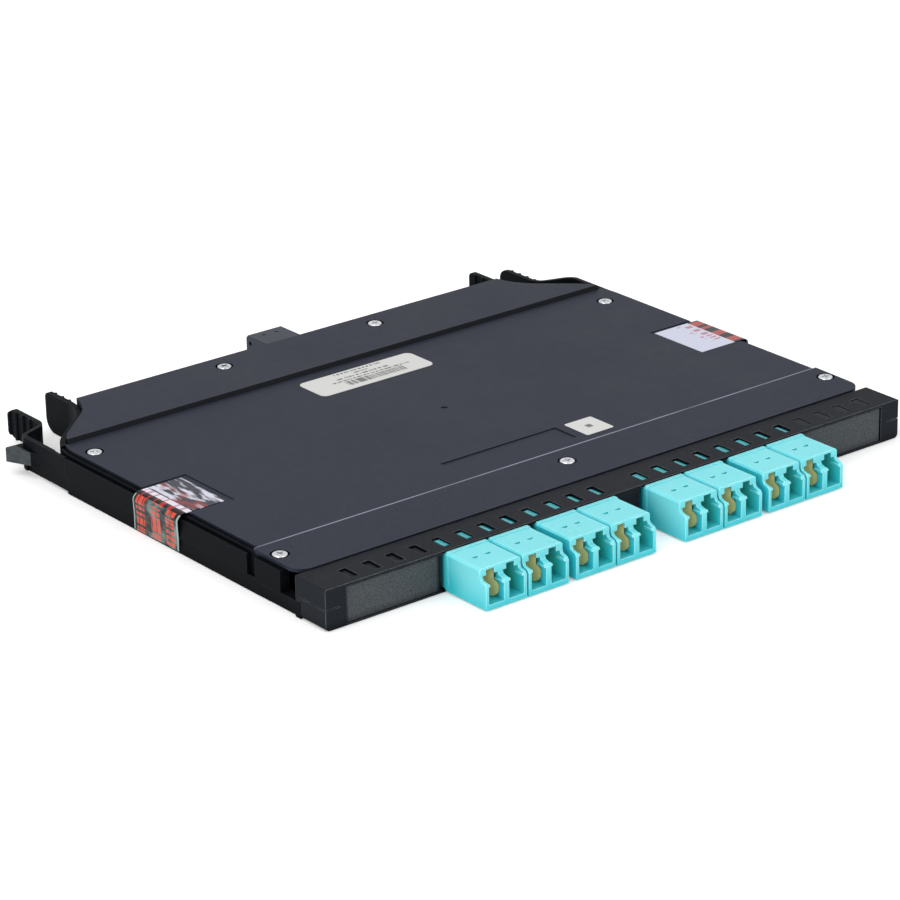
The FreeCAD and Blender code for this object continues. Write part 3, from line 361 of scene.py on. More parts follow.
def build_moulding_grain():
    """Spark-eroded grain of a moulded plastic face: height, roughness and a faint mottle."""
    group = new_group("Moulding grain",
                      [("Place", "NodeSocketVector", None), ("Grain size", "NodeSocketFloat", 2600.0),
                       ("Roughness", "NodeSocketFloat", 0.5), ("Roughness spread", "NodeSocketFloat", 0.12)],
                      [("Height", "NodeSocketFloat"), ("Roughness", "NodeSocketFloat"),
                       ("Mottle", "NodeSocketFloat")])
    start, end = group.nodes["in"], group.nodes["out"]
    place = start.outputs["Place"]
    fine = noise(group, place, 2600.0, 3.0, 0.7)
    join(group, start, "Grain size", fine, "Scale")
    cloud = noise(group, place, 38.0, 5.0, 0.55)
    patch = noise(group, place, 240.0, 3.0, 0.6)
    group.links.new(spread(group, fine.outputs["Fac"], 0.3, 0.7), end.inputs["Height"])
    both = sum_up(group, "ADD", spread(group, cloud.outputs["Fac"], 0.3, 0.7, -0.5, 0.5),
                  spread(group, patch.outputs["Fac"], 0.3, 0.7, -0.3, 0.3))
    swing = sum_up(group, "MULTIPLY", both, start.outputs["Roughness spread"])
    group.links.new(sum_up(group, "ADD", swing, start.outputs["Roughness"]), end.inputs["Roughness"])
    group.links.new(spread(group, both, -0.6, 0.6), end.inputs["Mottle"])
    return group


def build_edge_rub_highlight_and_hollow_shade():
    """Mask of the edges, partly polished by handling and partly a painted highlight, broken up by a noise,
    and mask of the hollows for painted shade.
    """
    group = new_group("Edge rub",
                      [("Place", "NodeSocketVector", None), ("Amount", "NodeSocketFloat", 0.6),
                       ("Hollow reach", "NodeSocketFloat", HOLLOW_SHADE_REACH * MM)],
                      [("Mask", "NodeSocketFloat"), ("Hollow", "NodeSocketFloat")])
    start, end = group.nodes["in"], group.nodes["out"]
    # Hollow mask: occlusion in recesses, which the materials use for painted shade.
    closed_in = group.nodes.new("ShaderNodeAmbientOcclusion")
    closed_in.samples = 6
    join(group, start, "Hollow reach", closed_in, "Distance")
    open_sky = group.nodes.new("ShaderNodeAmbientOcclusion")
    open_sky.samples = 6
    open_sky.inputs["Distance"].default_value = HOLLOW_SHADE_REACH * MM
    group.links.new(spread(group, closed_in.outputs["AO"], 0.5, 0.95, 1.0, 0.0), end.inputs["Hollow"])
    # Edge mask: real rubbing and painted highlight, where the rounded normal turns away from the face's own.
    rounded = group.nodes.new("ShaderNodeBevel")
    rounded.samples = 4
    rounded.inputs["Radius"].default_value = RUB_AND_HIGHLIGHT_REACH * MM
    geometry = group.nodes.new("ShaderNodeNewGeometry")
    agree = group.nodes.new("ShaderNodeVectorMath")
    agree.operation = "DOT_PRODUCT"
    join(group, rounded, "Normal", agree, 0)
    join(group, geometry, "Normal", agree, 1)
    turned = sum_up(group, "SUBTRACT", 1.0, agree.outputs["Value"])
    broken = noise(group, start.outputs["Place"], 310.0, 4.0, 0.7)
    edge_effects = sum_up(group, "MULTIPLY", spread(group, turned, 0.01, 0.09),
                  spread(group, broken.outputs["Fac"], 0.3, 0.6, 0.25, 1.0))
    edge_effects = sum_up(group, "MULTIPLY", edge_effects, spread(group, open_sky.outputs["AO"], 0.6, 0.85))
    group.links.new(sum_up(group, "MULTIPLY", edge_effects, start.outputs["Amount"]), end.inputs["Mask"])
    return group


def build_specks():
    """Sparse grains of dust that lie on a face."""
    group = new_group("Dust specks",
                      [("Place", "NodeSocketVector", None), ("Amount", "NodeSocketFloat", 0.3)],
                      [("Mask", "NodeSocketFloat")])
    start, end = group.nodes["in"], group.nodes["out"]
    cells = group.nodes.new("ShaderNodeTexVoronoi")
    cells.inputs["Scale"].default_value = 420.0
    join(group, start, "Place", cells, "Vector")
    dot = spread(group, cells.outputs["Distance"], 0.035, 0.075, 1.0, 0.0)
    pick = group.nodes.new("ShaderNodeSeparateColor")
    join(group, cells, "Color", pick, "Color")
    few = spread(group, pick.outputs["Red"], 0.86, 0.88)
    both = sum_up(group, "MULTIPLY", dot, few)
    group.links.new(sum_up(group, "MULTIPLY", both, start.outputs["Amount"]), end.inputs["Mask"])
    return group


GRAIN = build_moulding_grain()
RUB_AND_HIGHLIGHT = build_edge_rub_highlight_and_hollow_shade()
SPECKS = build_specks()


# ---- materials ---------------------------------------------------------------------------
def empty_material(name):
    material = bpy.data.materials.new(name)
    material.use_nodes = True
    tree = material.node_tree
    shader = tree.nodes["Principled BSDF"]
    place = tree.nodes.new("ShaderNodeTexCoord").outputs["Object"]
    return material, tree, shader, place


def group_node(tree, group, place, **values):
    node = tree.nodes.new("ShaderNodeGroup")
    node.node_tree = group
    tree.links.new(place, node.inputs["Place"])
    for socket, value in values.items():
        node.inputs[socket.replace("_", " ").capitalize()].default_value = value
    return node


def raise_grain(tree, shader, grain, depth):
    """The grain stands up by the depth, in millimetres."""
    bump = tree.nodes.new("ShaderNodeBump")
    bump.inputs["Distance"].default_value = depth * MM
    tree.links.new(grain.outputs["Height"], bump.inputs["Height"])
    tree.links.new(bump.outputs["Normal"], shader.inputs["Normal"])


def deeper(colour, share):
    return tuple(c * share for c in colour[:3]) + (1.0,)


def moulded(name, colour, pale, rough, grain_depth, grain_size=2600.0, specular=0.5, rub_and_highlight=0.5, specks=0.25,
            mottle=0.9, spread_of_gloss=0.06, speckle=0.1, inside=None, hollow=HOLLOW_SHADE_REACH):
    """Moulded plastic: grained face, faintly mottled colour, edges partly rubbed and partly given a painted
    highlight, and a few grains of dust.

    Its hollows go towards the inside colour as painted shade, where one is given."""
    material, tree, shader, place = empty_material(name)
    grain = group_node(tree, GRAIN, place, grain_size=grain_size, roughness=rough,
                       roughness_spread=spread_of_gloss)
    edge_effects = group_node(tree, RUB_AND_HIGHLIGHT, place, amount=rub_and_highlight, hollow_reach=hollow * MM)
    dust = group_node(tree, SPECKS, place, amount=specks)
    face = blend_colours(tree, grain.outputs["Mottle"], deeper(colour, mottle), colour)
    face = blend_colours(tree, sum_up(tree, "MULTIPLY", grain.outputs["Height"], speckle), face, pale)
    if inside:
        # Painted shade: hollows go towards the inside colour.
        face = blend_colours(tree, sum_up(tree, "MULTIPLY", edge_effects.outputs["Hollow"], 0.85), face, inside)
    # Pale edges: partly real wear, partly painted highlight.
    face = blend_colours(tree, edge_effects.outputs["Mask"], face, pale)
    face = blend_colours(tree, dust.outputs["Mask"], face, DUST)
    tree.links.new(face, shader.inputs["Base Color"])
    polished = sum_up(tree, "MULTIPLY", edge_effects.outputs["Mask"], -0.12)
    tree.links.new(sum_up(tree, "ADD", grain.outputs["Roughness"], polished), shader.inputs["Roughness"])
    raise_grain(tree, shader, grain, grain_depth)
    shader.inputs["Specular IOR Level"].default_value = specular
    return material


def mottled(name, colour, rough, depth, grain_size, gloss_spread, mottle):
    """One colour with a mottle, over its grain."""
    material, tree, shader, place = empty_material(name)
    grain = group_node(tree, GRAIN, place, grain_size=grain_size, roughness=rough,
                       roughness_spread=gloss_spread)
    face = blend_colours(tree, grain.outputs["Mottle"], deeper(colour, mottle), colour)
    tree.links.new(face, shader.inputs["Base Color"])
    tree.links.new(grain.outputs["Roughness"], shader.inputs["Roughness"])
    raise_grain(tree, shader, grain, depth)
    return material


def metal(name, colour, rough):
    """Plated metal with a fine dull mottle."""
    material = mottled(name, colour, rough, 0.004, 3200.0, 0.2, 0.7)
    material.node_tree.nodes["Principled BSDF"].inputs["Metallic"].default_value = 1.0
    return material


def paper(name, colour, rough):
    """Label paper with a faint fibre mottle."""
    return mottled(name, colour, rough, 0.006, 1500.0, 0.1, 0.93)


def colour_so_far(material):
    """Tree, base colour socket, what feeds it now, and the object's own coordinates."""
    tree = material.node_tree
    socket = tree.nodes["Principled BSDF"].inputs["Base Color"]
    place = tree.nodes.new("ShaderNodeTexCoord").outputs["Object"]
    return tree, socket, socket.links[0].from_socket, place


def band(tree, value, low, high):
    """One between the two limits, nought outside."""
    above = sum_up(tree, "GREATER_THAN", value, low)
    return sum_up(tree, "MULTIPLY", above, sum_up(tree, "LESS_THAN", value, high))


def steps_along(tree, value, scale, row, keep=0.5):
    """Bars of uneven width along one axis, a different run for each row."""
    spot = tree.nodes.new("ShaderNodeCombineXYZ")
    tree.links.new(value, spot.inputs["X"])
    spot.inputs["Y"].default_value = row
    run = noise(tree, spot.outputs["Vector"], scale, 0.0, 0.0)
    return sum_up(tree, "GREATER_THAN", run.outputs["Fac"], keep)


def axes_of(tree, place):
    parts = tree.nodes.new("ShaderNodeSeparateXYZ")
    tree.links.new(place, parts.inputs["Vector"])
    return parts.outputs["X"], parts.outputs["Y"], parts.outputs["Z"]


def paint_ridge_highlight_and_step_shade(material):
    """A painted highlight along the ridge of the lid, and painted shade on the steep step up to its rear
    band.
    """
    tree, socket, face, place = colour_so_far(material)
    _, y, z = axes_of(tree, place)
    # Painted highlight along the ridge.
    away = sum_up(tree, "ABSOLUTE", sum_up(tree, "SUBTRACT", y, BEND_Y * MM))
    line = spread(tree, away, BEND_HIGHLIGHT[0] * MM, BEND_HIGHLIGHT[1] * MM, 1.0, 0.0)
    run = noise(tree, place, 60.0, 4.0, 0.6)
    line = sum_up(tree, "MULTIPLY", line, spread(tree, run.outputs["Fac"], 0.3, 0.55, 0.45, 0.9))
    outside = sum_up(tree, "GREATER_THAN", z, cad_box[1][2] - BEND_LOWEST * MM)
    line = sum_up(tree, "MULTIPLY", line, outside)
    face = blend_colours(tree, line, face, tint(150, 152, 172))
    # Painted shade on the steep step.
    step = band(tree, y, STEP_SHADE_Y[0] * MM, STEP_SHADE_Y[1] * MM)
    tree.links.new(blend_colours(tree, sum_up(tree, "MULTIPLY", step, 0.85), face, tint(6, 7, 10)), socket)
    return material


def wear_the_tooth(material):
    """The rack has rubbed the tooth grey where it stands out past the wall."""
    tree, socket, face, place = colour_so_far(material)
    x, _, z = axes_of(tree, place)
    out = sum_up(tree, "GREATER_THAN", sum_up(tree, "ABSOLUTE", x), TOOTH_FROM_X * MM)
    lines = noise(tree, stretched(tree, place, 0.0, (1.0, 0.08, 1.0)), 900.0, 3.0, 0.6)
    out = sum_up(tree, "MULTIPLY", out, spread(tree, lines.outputs["Fac"], 0.3, 0.6, 0.6, 1.0))
    out = sum_up(tree, "MULTIPLY", out, sum_up(tree, "LESS_THAN", z, TOOTH_TO_Z * MM))
    tree.links.new(blend_colours(tree, out, face, tint(72, 77, 80)), socket)
    return material


def dim_behind(material, from_y, share, shade):
    """Less light reaches what lies behind the bezel's lip."""
    tree, socket, face, place = colour_so_far(material)
    _, y, _ = axes_of(tree, place)
    behind = sum_up(tree, "MULTIPLY", sum_up(tree, "GREATER_THAN", y, from_y * MM), share)
    tree.links.new(blend_colours(tree, behind, face, shade), socket)
    return material


def let_light_in(material, weight, reach):
    """Thin walls of this plastic glow a little, and less so in red."""
    shader = material.node_tree.nodes["Principled BSDF"]
    shader.inputs["Subsurface Weight"].default_value = weight
    shader.inputs["Subsurface Radius"].default_value = (0.25, 1.0, 1.0)
    shader.inputs["Subsurface Scale"].default_value = reach * MM
    return material


def printed_label(name, node, blocks):
    """Coated white label with rows of plain dashes: (from, to, bottom, top, bar scale) in shares."""
    material = paper(name, PAPER_WHITE, 0.5)
    tree, socket, paper_face, place = colour_so_far(material)
    x, y, _ = axes_of(tree, place)
    low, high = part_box(node)
    ink = None
    for row, (x0, x1, y0, y1, scale) in enumerate(blocks):
        across = band(tree, x, low[0] + x0 * (high[0] - low[0]), low[0] + x1 * (high[0] - low[0]))
        along = band(tree, y, low[1] + y0 * (high[1] - low[1]), low[1] + y1 * (high[1] - low[1]))
        field = sum_up(tree, "MULTIPLY", across, along)
        if scale:
            field = sum_up(tree, "MULTIPLY", field, steps_along(tree, x, scale, 3.7 * row, 0.47))
        ink = field if ink is None else sum_up(tree, "MAXIMUM", ink, field)
    ink = sum_up(tree, "MULTIPLY", ink, 0.85)
    tree.links.new(blend_colours(tree, ink, paper_face, tint(64, 66, 68)), socket)
    return material


def stretched(tree, place, turn, scale):
    mapped = tree.nodes.new("ShaderNodeMapping")
    mapped.inputs["Rotation"].default_value = (0.0, 0.0, turn)
    mapped.inputs["Scale"].default_value = scale
    tree.links.new(place, mapped.inputs["Vector"])
    return mapped.outputs["Vector"]


def seal_film(name, node, side, pale_reflection, patch, red):
    """Clear sealing film with a printed patch on the lid and plain red blocks down the wall, over pale
    patches of painted reflection, with a painted highlight along its two edges.
    """
    material, tree, shader, place = empty_material(name)
    x, y, z = axes_of(tree, place)
    low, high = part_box(node)
    edge = low[0] if side < 0 else high[0]
    inward = sum_up(tree, "ABSOLUTE", sum_up(tree, "SUBTRACT", x, edge))
    on_top = sum_up(tree, "GREATER_THAN", z, high[2] - 0.35 * MM)
    # Painted reflection: pale clouded patches in the clear film.
    cloud = noise(tree, place, 160.0, 3.0, 0.55)
    film = blend_colours(tree, spread(tree, cloud.outputs["Fac"], 0.42, 0.6), tint(20, 26, 28), pale_reflection)
    fall = sum_up(tree, "SUBTRACT", high[2], z)
    drop = sum_up(tree, "MULTIPLY", fall, FILM_LEAN * MM / (high[2] - low[2]))
    along = sum_up(tree, "SUBTRACT", y, drop)
    width = high[1] - low[1] - FILM_LEAN * MM
    columns = None
    row = width / LETTER_ROWS
    for number in range(LETTER_ROWS):
        middle = low[1] + (number + 0.5) * row
        field = band(tree, along, middle - 0.32 * row, middle + 0.3 * row)
        field = sum_up(tree, "MULTIPLY", field, steps_along(tree, z, 1100.0, 5.1 * number, 0.46))
        gaps = steps_along(tree, along, 1500.0, 2.9 * number, 0.42)
        field = sum_up(tree, "MULTIPLY", field, gaps)
        columns = field if columns is None else sum_up(tree, "MAXIMUM", columns, field)
    face = blend_colours(tree, sum_up(tree, "MULTIPLY", columns, 0.8), film, red)
    # Painted highlight along the film's two edges.
    edge_highlights = sum_up(tree, "MAXIMUM", band(tree, along, low[1] - MM, low[1] + FILM_EDGE_HIGHLIGHT * MM),
                  band(tree, along, low[1] + width - FILM_EDGE_HIGHLIGHT * MM, high[1] + MM))
    face = blend_colours(tree, sum_up(tree, "MULTIPLY", edge_highlights, 0.7), face, tint(176, 196, 190))
    top_face = patch(tree, place, inward, y, low, high)
    tree.links.new(blend_colours(tree, on_top, face, top_face), shader.inputs["Base Color"])
    grain = group_node(tree, GRAIN, place, grain_size=700.0, roughness=0.16, roughness_spread=0.08)
    tree.links.new(grain.outputs["Roughness"], shader.inputs["Roughness"])
    raise_grain(tree, shader, grain, 0.006)
    shader.inputs["Specular IOR Level"].default_value = 0.15
    return material


def streaked_patch(tree, place, inward, y, _low, _high):
    """Dark patch with slanting pale streaks, a reddish cloud and a pale strip at its outer side."""
    streaks = noise(tree, stretched(tree, place, 0.6, (1.0, 0.22, 1.0)), 520.0, 2.0, 0.5)
    cloud = noise(tree, place, 170.0, 2.0, 0.5)
    face = blend_colours(tree, spread(tree, streaks.outputs["Fac"], 0.5, 0.6), tint(38, 40, 54),
                         tint(205, 206, 220))
    ruddy = sum_up(tree, "MULTIPLY", spread(tree, cloud.outputs["Fac"], 0.47, 0.55),
                   band(tree, inward, RUDDY_CLOUD[0] * MM, RUDDY_CLOUD[1] * MM))
    face = blend_colours(tree, sum_up(tree, "MULTIPLY", ruddy, 0.6), face, tint(150, 48, 44))
    strip = band(tree, inward, STREAK_STRIP[0] * MM, STREAK_STRIP[1] * MM)
    marks = sum_up(tree, "MULTIPLY", steps_along(tree, y, 700.0, 2.0, 0.56), 0.6)
    strip_face = blend_colours(tree, marks, tint(222, 214, 228), tint(150, 70, 80))
    face = blend_colours(tree, strip, face, strip_face)
    outer = blend_colours(tree, steps_along(tree, y, 360.0, 4.0, 0.56), tint(22, 16, 20), tint(168, 38, 34))
    return blend_colours(tree, sum_up(tree, "LESS_THAN", inward, STREAK_STRIP[0] * MM), face, outer)


def pale_patch(tree, _place, inward, y, low, high):
    """Pale lilac patch with a few red dashes at its outer side, over a dark clear margin."""
    face = tint(199, 202, 220)
    for row, (u0, u1, scale, keep) in enumerate(PALE_DASHES):
        dashes = sum_up(tree, "MULTIPLY", band(tree, inward, u0 * MM, u1 * MM),
                        steps_along(tree, y, scale, 2.3 * row, keep))
        dashes = sum_up(tree, "MULTIPLY", dashes,
                        band(tree, y, low[1] + DASHES_START * MM, high[1] - DASHES_STOP * MM))
        face = blend_colours(tree, sum_up(tree, "MULTIPLY", dashes, 0.75), face, tint(178, 88, 96))
    margin = blend_colours(tree, steps_along(tree, y, 330.0, 1.0, 0.5), tint(30, 24, 30), tint(168, 70, 64))
    return blend_colours(tree, sum_up(tree, "LESS_THAN", inward, PALE_MARGIN * MM), face, margin)


# Each inside colour below is painted shade in that plastic's hollows; each pale colour on the edges is
# partly wear and partly painted highlight.
COVER_PLASTIC = paint_ridge_highlight_and_step_shade(moulded("cover_plastic", tint(33, 37, 50), tint(80, 84, 100), 0.46, 0.02,
                                      specular=0.07, rub_and_highlight=0.4, speckle=0.16, inside=tint(12, 13, 17)))
TRAY_PLASTIC = moulded("tray_plastic", tint(11, 14, 17), tint(56, 60, 66), 0.45, 0.012, specular=0.02,
                       inside=tint(6, 7, 9))
BEZEL_PLASTIC = moulded("bezel_plastic", tint(25, 28, 33), tint(116, 121, 127), 0.46, 0.016,
                        specular=0.03, rub_and_highlight=0.95, speckle=0.06, inside=tint(8, 9, 11))
BLANK_PLASTIC = dim_behind(moulded("blank_plastic", tint(50, 55, 59), tint(128, 132, 134), 0.5, 0.03,
                                   specular=0.1, speckle=0.3, inside=tint(12, 13, 16)),
                           BEHIND_Y, 0.9, tint(8, 9, 11))
ARM_PLASTIC = wear_the_tooth(moulded("arm_plastic", tint(11, 14, 18), tint(60, 64, 68), 0.42, 0.01,
                                     specular=0.02, inside=tint(6, 7, 9)))
# The adapter's saturated teal inside colour is painted shade deep in its ports.
ADAPTER_PLASTIC = moulded("adapter_plastic", tint(122, 218, 225), tint(210, 248, 252), 0.3, 0.004,
                          grain_size=900.0, specular=0.12, rub_and_highlight=0.9, specks=0.0, mottle=0.96, speckle=0.05,
                          inside=tint(10, 186, 198), hollow=PORT_SHADE_REACH)
ADAPTER_PLASTIC = let_light_in(dim_behind(ADAPTER_PLASTIC, BEHIND_Y, 0.6, tint(0, 118, 128)), 0.5, 1.5)
SHUTTER_SPRING = moulded("shutter_spring", tint(200, 192, 124), tint(216, 212, 160), 0.35, 0.004,
                         rub_and_highlight=0.3, specks=0.0)
PLUG_PLASTIC = moulded("plug_plastic", tint(126, 205, 214), tint(190, 235, 240), 0.4, 0.006)
FIBRE_JACKET = moulded("fibre_jacket", tint(110, 205, 212), tint(190, 235, 240), 0.5, 0.01)
FANOUT_PLASTIC = moulded("fanout_plastic", tint(28, 29, 32), tint(90, 92, 98), 0.5, 0.014)
MPO_PLASTIC = moulded("mpo_plastic", tint(50, 53, 64), tint(96, 98, 108), 0.45, 0.012, specular=0.15)
SCREW_ZINC = metal("screw_zinc", tint(216, 218, 222), 0.24)
LABEL_PAPER = paper("label_paper", PAPER_WHITE, 0.5)
RATING_PRINT = printed_label("rating_print", "rating_label",
                             [(0.3, 0.72, 0.87, 0.94, 1500.0), (0.45, 0.58, 0.74, 0.8, 1700.0),
                              (0.26, 0.73, 0.6, 0.67, 1300.0), (0.2, 0.88, 0.47, 0.53, 1700.0),
                              (0.28, 0.8, 0.18, 0.43, 2600.0)])
SQUARE_PRINT = printed_label("square_print", "square_label", [(0.4, 0.6, 0.4, 0.6, 0.0)])
# Each seal's third colour is the pale of its painted reflection.
SEAL_FILM = seal_film("seal_film", "wrap_seal_left", -1, tint(112, 136, 132), streaked_patch,
                      tint(222, 82, 62))
SEAL_FILM_PALE = seal_film("seal_film_pale", "wrap_seal_right", 1, tint(112, 130, 132), pale_patch,
                           tint(206, 84, 70))

FINISHES = {
    "bezel_plastic": BEZEL_PLASTIC, "tray_plastic": TRAY_PLASTIC, "cover_plastic": COVER_PLASTIC,
    "blank_plastic": BLANK_PLASTIC, "arm_plastic": ARM_PLASTIC, "adapter_plastic": ADAPTER_PLASTIC,
    "shutter_spring": SHUTTER_SPRING, "plug_plastic": PLUG_PLASTIC, "fibre_jacket": FIBRE_JACKET,
    "fanout_plastic": FANOUT_PLASTIC, "mpo_plastic": MPO_PLASTIC, "screw_zinc": SCREW_ZINC,
    "label_paper": LABEL_PAPER, "seal_film": SEAL_FILM, "seal_film_pale": SEAL_FILM_PALE,
}


PRINTS = {"rating_label": RATING_PRINT, "square_label": SQUARE_PRINT}


def finish_with(piece, material):
    piece.data.materials.clear()
    piece.data.materials.append(material)


SLOTS = {entry["node"]: entry["material_slot"] for entry in frame["record"]["subparts"]}


def slot_of(node):
    return SLOTS[node]


def dress_cad_nodes():
    for name, node in NODES.items():
        finish = PRINTS.get(name, FINISHES[slot_of(name)])
        materials = node.data.materials
        if not materials:
            materials.append(finish)
        for k in range(len(materials)):
            materials[k] = finish


# ---- broken edges on the mouldings ---------------------------------------------------------
def dress_mouldings():
    wanted = [("front_bezel", BEZEL_BREAK), ("base_tray", SHELL_BREAK), ("top_cover", SHELL_BREAK),
              ("side_wall_left", SHELL_BREAK), ("side_wall_right", SHELL_BREAK),
              ("blank_plate_left", BEZEL_BREAK), ("blank_plate_right", BEZEL_BREAK),
              ("latch_arm_left", ARM_BREAK), ("latch_arm_right", ARM_BREAK), ("mpo_adapter", BEZEL_BREAK)]
    for node, width in wanted:
        piece = dressed_copy(node, node + "_moulding", width)
        finish_with(piece, FINISHES[slot_of(node)])


def half_moon(x):
    """Cutter for one mark: the front half of a shallow disc."""
    deselect_everything()
    bpy.ops.mesh.primitive_cylinder_add(vertices=24, radius=MARK_R * MM, depth=2 * MARK_DEPTH * MM,
                                        location=(x * MM, MARK_Y * MM, NOSE_TOP * MM))
    cutter = settle(bpy.context.object, "mark_cutter")
    bpy.ops.object.mode_set(mode="EDIT")
    bpy.ops.mesh.select_all(action="SELECT")
    bpy.ops.mesh.bisect(plane_co=(0.0, MARK_Y * MM, 0.0), plane_no=(0.0, 1.0, 0.0), use_fill=True,
                        clear_outer=True)
    bpy.ops.object.mode_set(mode="OBJECT")
    turn_outwards(cutter)
    return cutter


def dress_adapters():
    for number in range(1, 9):
        node = "lc_adapter_%d" % number
        low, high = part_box(node)
        middle = (low[0] + high[0]) / 2 / MM
        piece = dressed_copy(node, "adapter_shell_%d" % number, ADAPTER_BREAK,
                             [half_moon(middle + x) for x in MARK_X])
        finish_with(piece, ADAPTER_PLASTIC)


# ---- labels --------------------------------------------------------------------------------
def shape_label(node, name, radius, print_on):
    """Thin label with round corners in the place of its plain solid."""
    low, high = (Vector(corner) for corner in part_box(node))
    deselect_everything()
    bpy.ops.mesh.primitive_cube_add(size=1.0, location=(low + high) / 2, scale=high - low)
    label = settle(bpy.context.object, name)
    bpy.ops.object.mode_set(mode="EDIT")
    pick_edges(label, lambda e: abs(e.verts[0].co.z - e.verts[1].co.z) > (high.z - low.z) / 2)
    bpy.ops.mesh.bevel(offset=radius * MM, segments=6, affect="EDGES")
    bpy.ops.object.mode_set(mode="OBJECT")
    smooth_over(label)
    finish_with(label, print_on)
    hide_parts(node)
    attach(label, body_of(node))


def dress_labels():
    shape_label("rating_label", "rating_plate", RATING_CORNER, RATING_PRINT)
    shape_label("square_label", "port_sticker", SQUARE_CORNER, SQUARE_PRINT)


# ---- screws --------------------------------------------------------------------------------
def shape_screw():
    """Domed head with a cross recess on a plain shank, with its seat at the origin."""
    deselect_everything()
    bpy.ops.mesh.primitive_cylinder_add(vertices=32, radius=HEAD_R * MM, depth=HEAD_H * MM,
                                        location=(0.0, 0.0, HEAD_H / 2 * MM))
    screw = settle(bpy.context.object, "screw_pattern")
    bpy.ops.object.mode_set(mode="EDIT")
    pick_edges(screw, lambda e: min(v.co.z for v in e.verts) > 0.99 * HEAD_H * MM)
    bpy.ops.mesh.bevel(offset=HEAD_ROUND * MM, segments=HEAD_FACETS, profile=0.62, affect="EDGES")
    pick_faces(screw, lambda f: f.normal.z < -0.9)
    bpy.ops.mesh.inset(thickness=(HEAD_R - SHANK_R) * MM, depth=0.0)
    for length in (SHANK_L - TIP_L, TIP_L):
        bpy.ops.mesh.extrude_region_move(TRANSFORM_OT_translate={"value": (0.0, 0.0, -length * MM)})
    bpy.ops.transform.resize(value=(TIP_SHARE, TIP_SHARE, 1.0), center_override=(0.0, 0.0, -SHANK_L * MM))
    bpy.ops.object.mode_set(mode="OBJECT")
    cutters = []
    for long, wide in ((CROSS_L, CROSS_W), (CROSS_W, CROSS_L)):
        deselect_everything()
        bpy.ops.mesh.primitive_cube_add(size=1.0, location=(0.0, 0.0, HEAD_H * MM),
                                        scale=(long * MM, wide * MM, 2 * CROSS_DEPTH * MM))
        cutters.append(settle(bpy.context.object, "cross_cutter"))
    carve(screw, cutters)
    smooth_over(screw, 35.0)
    return screw


def screw_seats():
    """Middle and seat height of each screw, from its solid's head."""
    groups = []
    for vertex in NODES["cover_screws"].data.vertices:
        near = [g for g in groups if (vertex.co.xy - g[0].xy).length < 3 * HEAD_R * MM]
        if near:
            near[0].append(vertex.co.copy())
        else:
            groups.append([vertex.co.copy()])
    seats = []
    for group in groups:
        x = (min(p.x for p in group) + max(p.x for p in group)) / 2
        y = (min(p.y for p in group) + max(p.y for p in group)) / 2
        seats.append((x, y, max(p.z for p in group) - HEAD_H * MM))
    return seats


def dress_screws():
    pattern = shape_screw()
    for number, seat in enumerate(screw_seats(), 1):
        turn = FIRST_TURN + NEXT_TURN * number
        screw = copy_of(pattern, "cover_screw_%d" % number, seat, turn)
        finish_with(screw, SCREW_ZINC)
        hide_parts("cover_screws")
        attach(screw, body_of("cover_screws"))
    take(pattern)
    bpy.ops.object.delete()


# ---- studio --------------------------------------------------------------------------------
def set_camera():
    camera = bpy.data.cameras.new("studio camera")
    camera.lens = LENS
    camera.sensor_width = SENSOR
    camera.clip_start = 0.05
    camera.clip_end = 50.0
    eye = bpy.data.objects.new("studio camera", camera)
    bpy.context.scene.collection.objects.link(eye)
    az, drop = CAMERA_AZIMUTH, CAMERA_DROP
    right = Vector((math.cos(az), -math.sin(az), 0.0))
    forward = Vector((math.sin(az) * math.cos(drop), math.cos(az) * math.cos(drop), -math.sin(drop)))
    up = right.cross(forward)
    c, s = math.cos(CAMERA_ROLL), math.sin(CAMERA_ROLL)
    rolled_right, rolled_up = c * right + s * up, c * up - s * right
    turn = Matrix((rolled_right, rolled_up, -forward)).transposed().to_4x4()
    eye.matrix_world = Matrix.Translation(Vector(CAMERA_PLACE)) @ turn
    bpy.context.scene.camera = eye


def add_lamp(name, place, size, power, aim=(0.0, 0.07, 0.0)):
    lamp = bpy.data.lights.new(name, "AREA")
    lamp.shape = "RECTANGLE"
    lamp.size, lamp.size_y = size
    lamp.energy = power
    holder = bpy.data.objects.new(name, lamp)
    bpy.context.scene.collection.objects.link(holder)
    holder.location = place
    direction = Vector(aim) - Vector(place)
    holder.rotation_euler = direction.to_track_quat("-Z", "Y").to_euler()


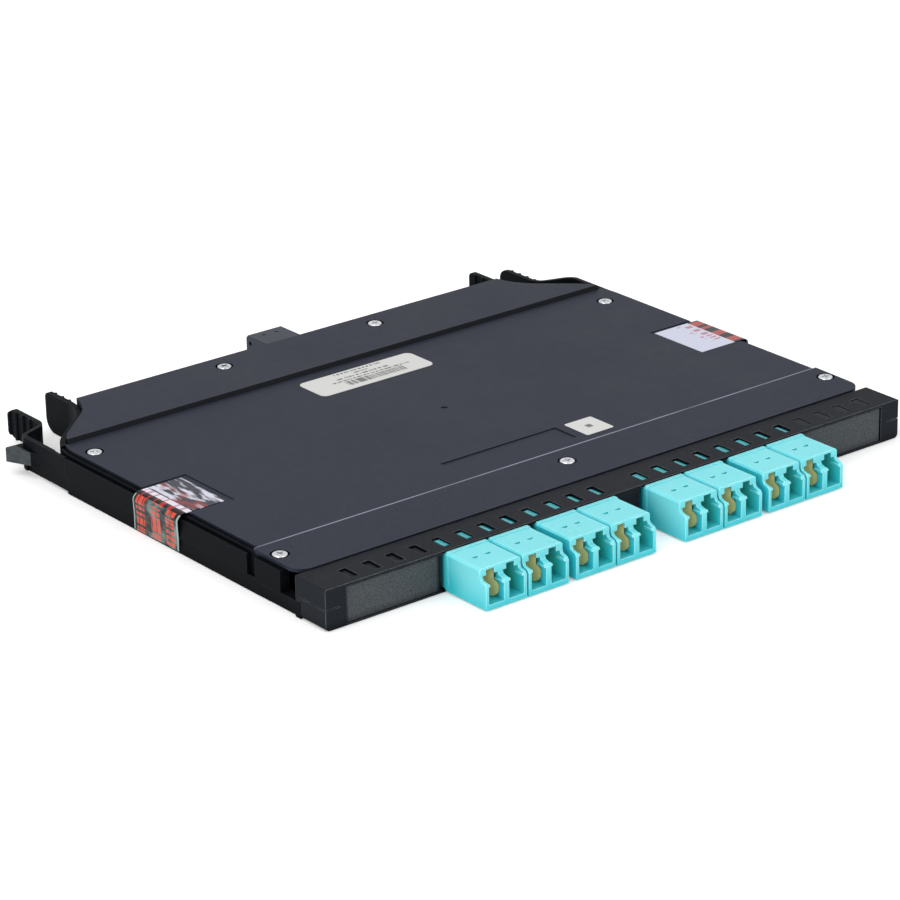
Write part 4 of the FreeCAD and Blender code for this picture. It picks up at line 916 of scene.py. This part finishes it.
def light_path_mask(tree):
    """One where the camera, a mirror or glass sees the surface, nought where it only lights."""
    path = tree.nodes.new("ShaderNodeLightPath")
    seen = sum_up(tree, "MAXIMUM", path.outputs["Is Camera Ray"], path.outputs["Is Glossy Ray"])
    return sum_up(tree, "MAXIMUM", seen, path.outputs["Is Transmission Ray"])


def set_stage():
    deselect_everything()
    bpy.ops.mesh.primitive_plane_add(size=8.0, location=(0.0, 0.0, cad_box[0][2] - 0.0002))
    floor = settle(bpy.context.object, "studio_floor")
    material, tree, shader, place = empty_material("studio_floor")
    grain = group_node(tree, GRAIN, place, grain_size=300.0, roughness=0.85, roughness_spread=0.05)
    shade = blend_colours(tree, grain.outputs["Mottle"], (0.80, 0.80, 0.80, 1.0), (0.82, 0.82, 0.82, 1.0))
    seen = light_path_mask(tree)
    tree.links.new(blend_colours(tree, seen, shade, (0.97, 0.97, 0.97, 1.0)), shader.inputs["Base Color"])
    tree.links.new(grain.outputs["Roughness"], shader.inputs["Roughness"])
    lift = blend_colours(tree, seen, (0.0, 0.0, 0.0, 1.0), (FLOOR_LIFT, FLOOR_LIFT, FLOOR_LIFT, 1.0))
    tree.links.new(lift, shader.inputs["Emission Color"])
    shader.inputs["Emission Strength"].default_value = 1.0
    shader.inputs["Specular IOR Level"].default_value = 0.1
    floor.data.materials.append(material)

    world = bpy.data.worlds.new("studio")
    bpy.context.scene.world = world
    world.use_nodes = True
    tree = world.node_tree
    back = tree.nodes["Background"]
    seen = light_path_mask(tree)
    level = blend_colours(tree, seen, (SKY_LEVEL, SKY_LEVEL, SKY_LEVEL, 1.0), (1.0, 1.0, 1.0, 1.0))
    tree.links.new(level, back.inputs["Color"])
    add_lamp("key_light", (-0.7, 0.2, 1.3), (1.2, 1.2), KEY_POWER)
    add_lamp("fill_light", (0.5, -1.3, 0.7), (1.4, 0.9), FILL_POWER)
    add_lamp("side_light", (-1.3, -0.6, 0.5), (0.9, 0.9), SIDE_POWER)
    bpy.context.scene.view_settings.view_transform = "Standard"


dress_cad_nodes()
dress_mouldings()
dress_adapters()
dress_screws()
dress_labels()
set_camera()
set_stage()
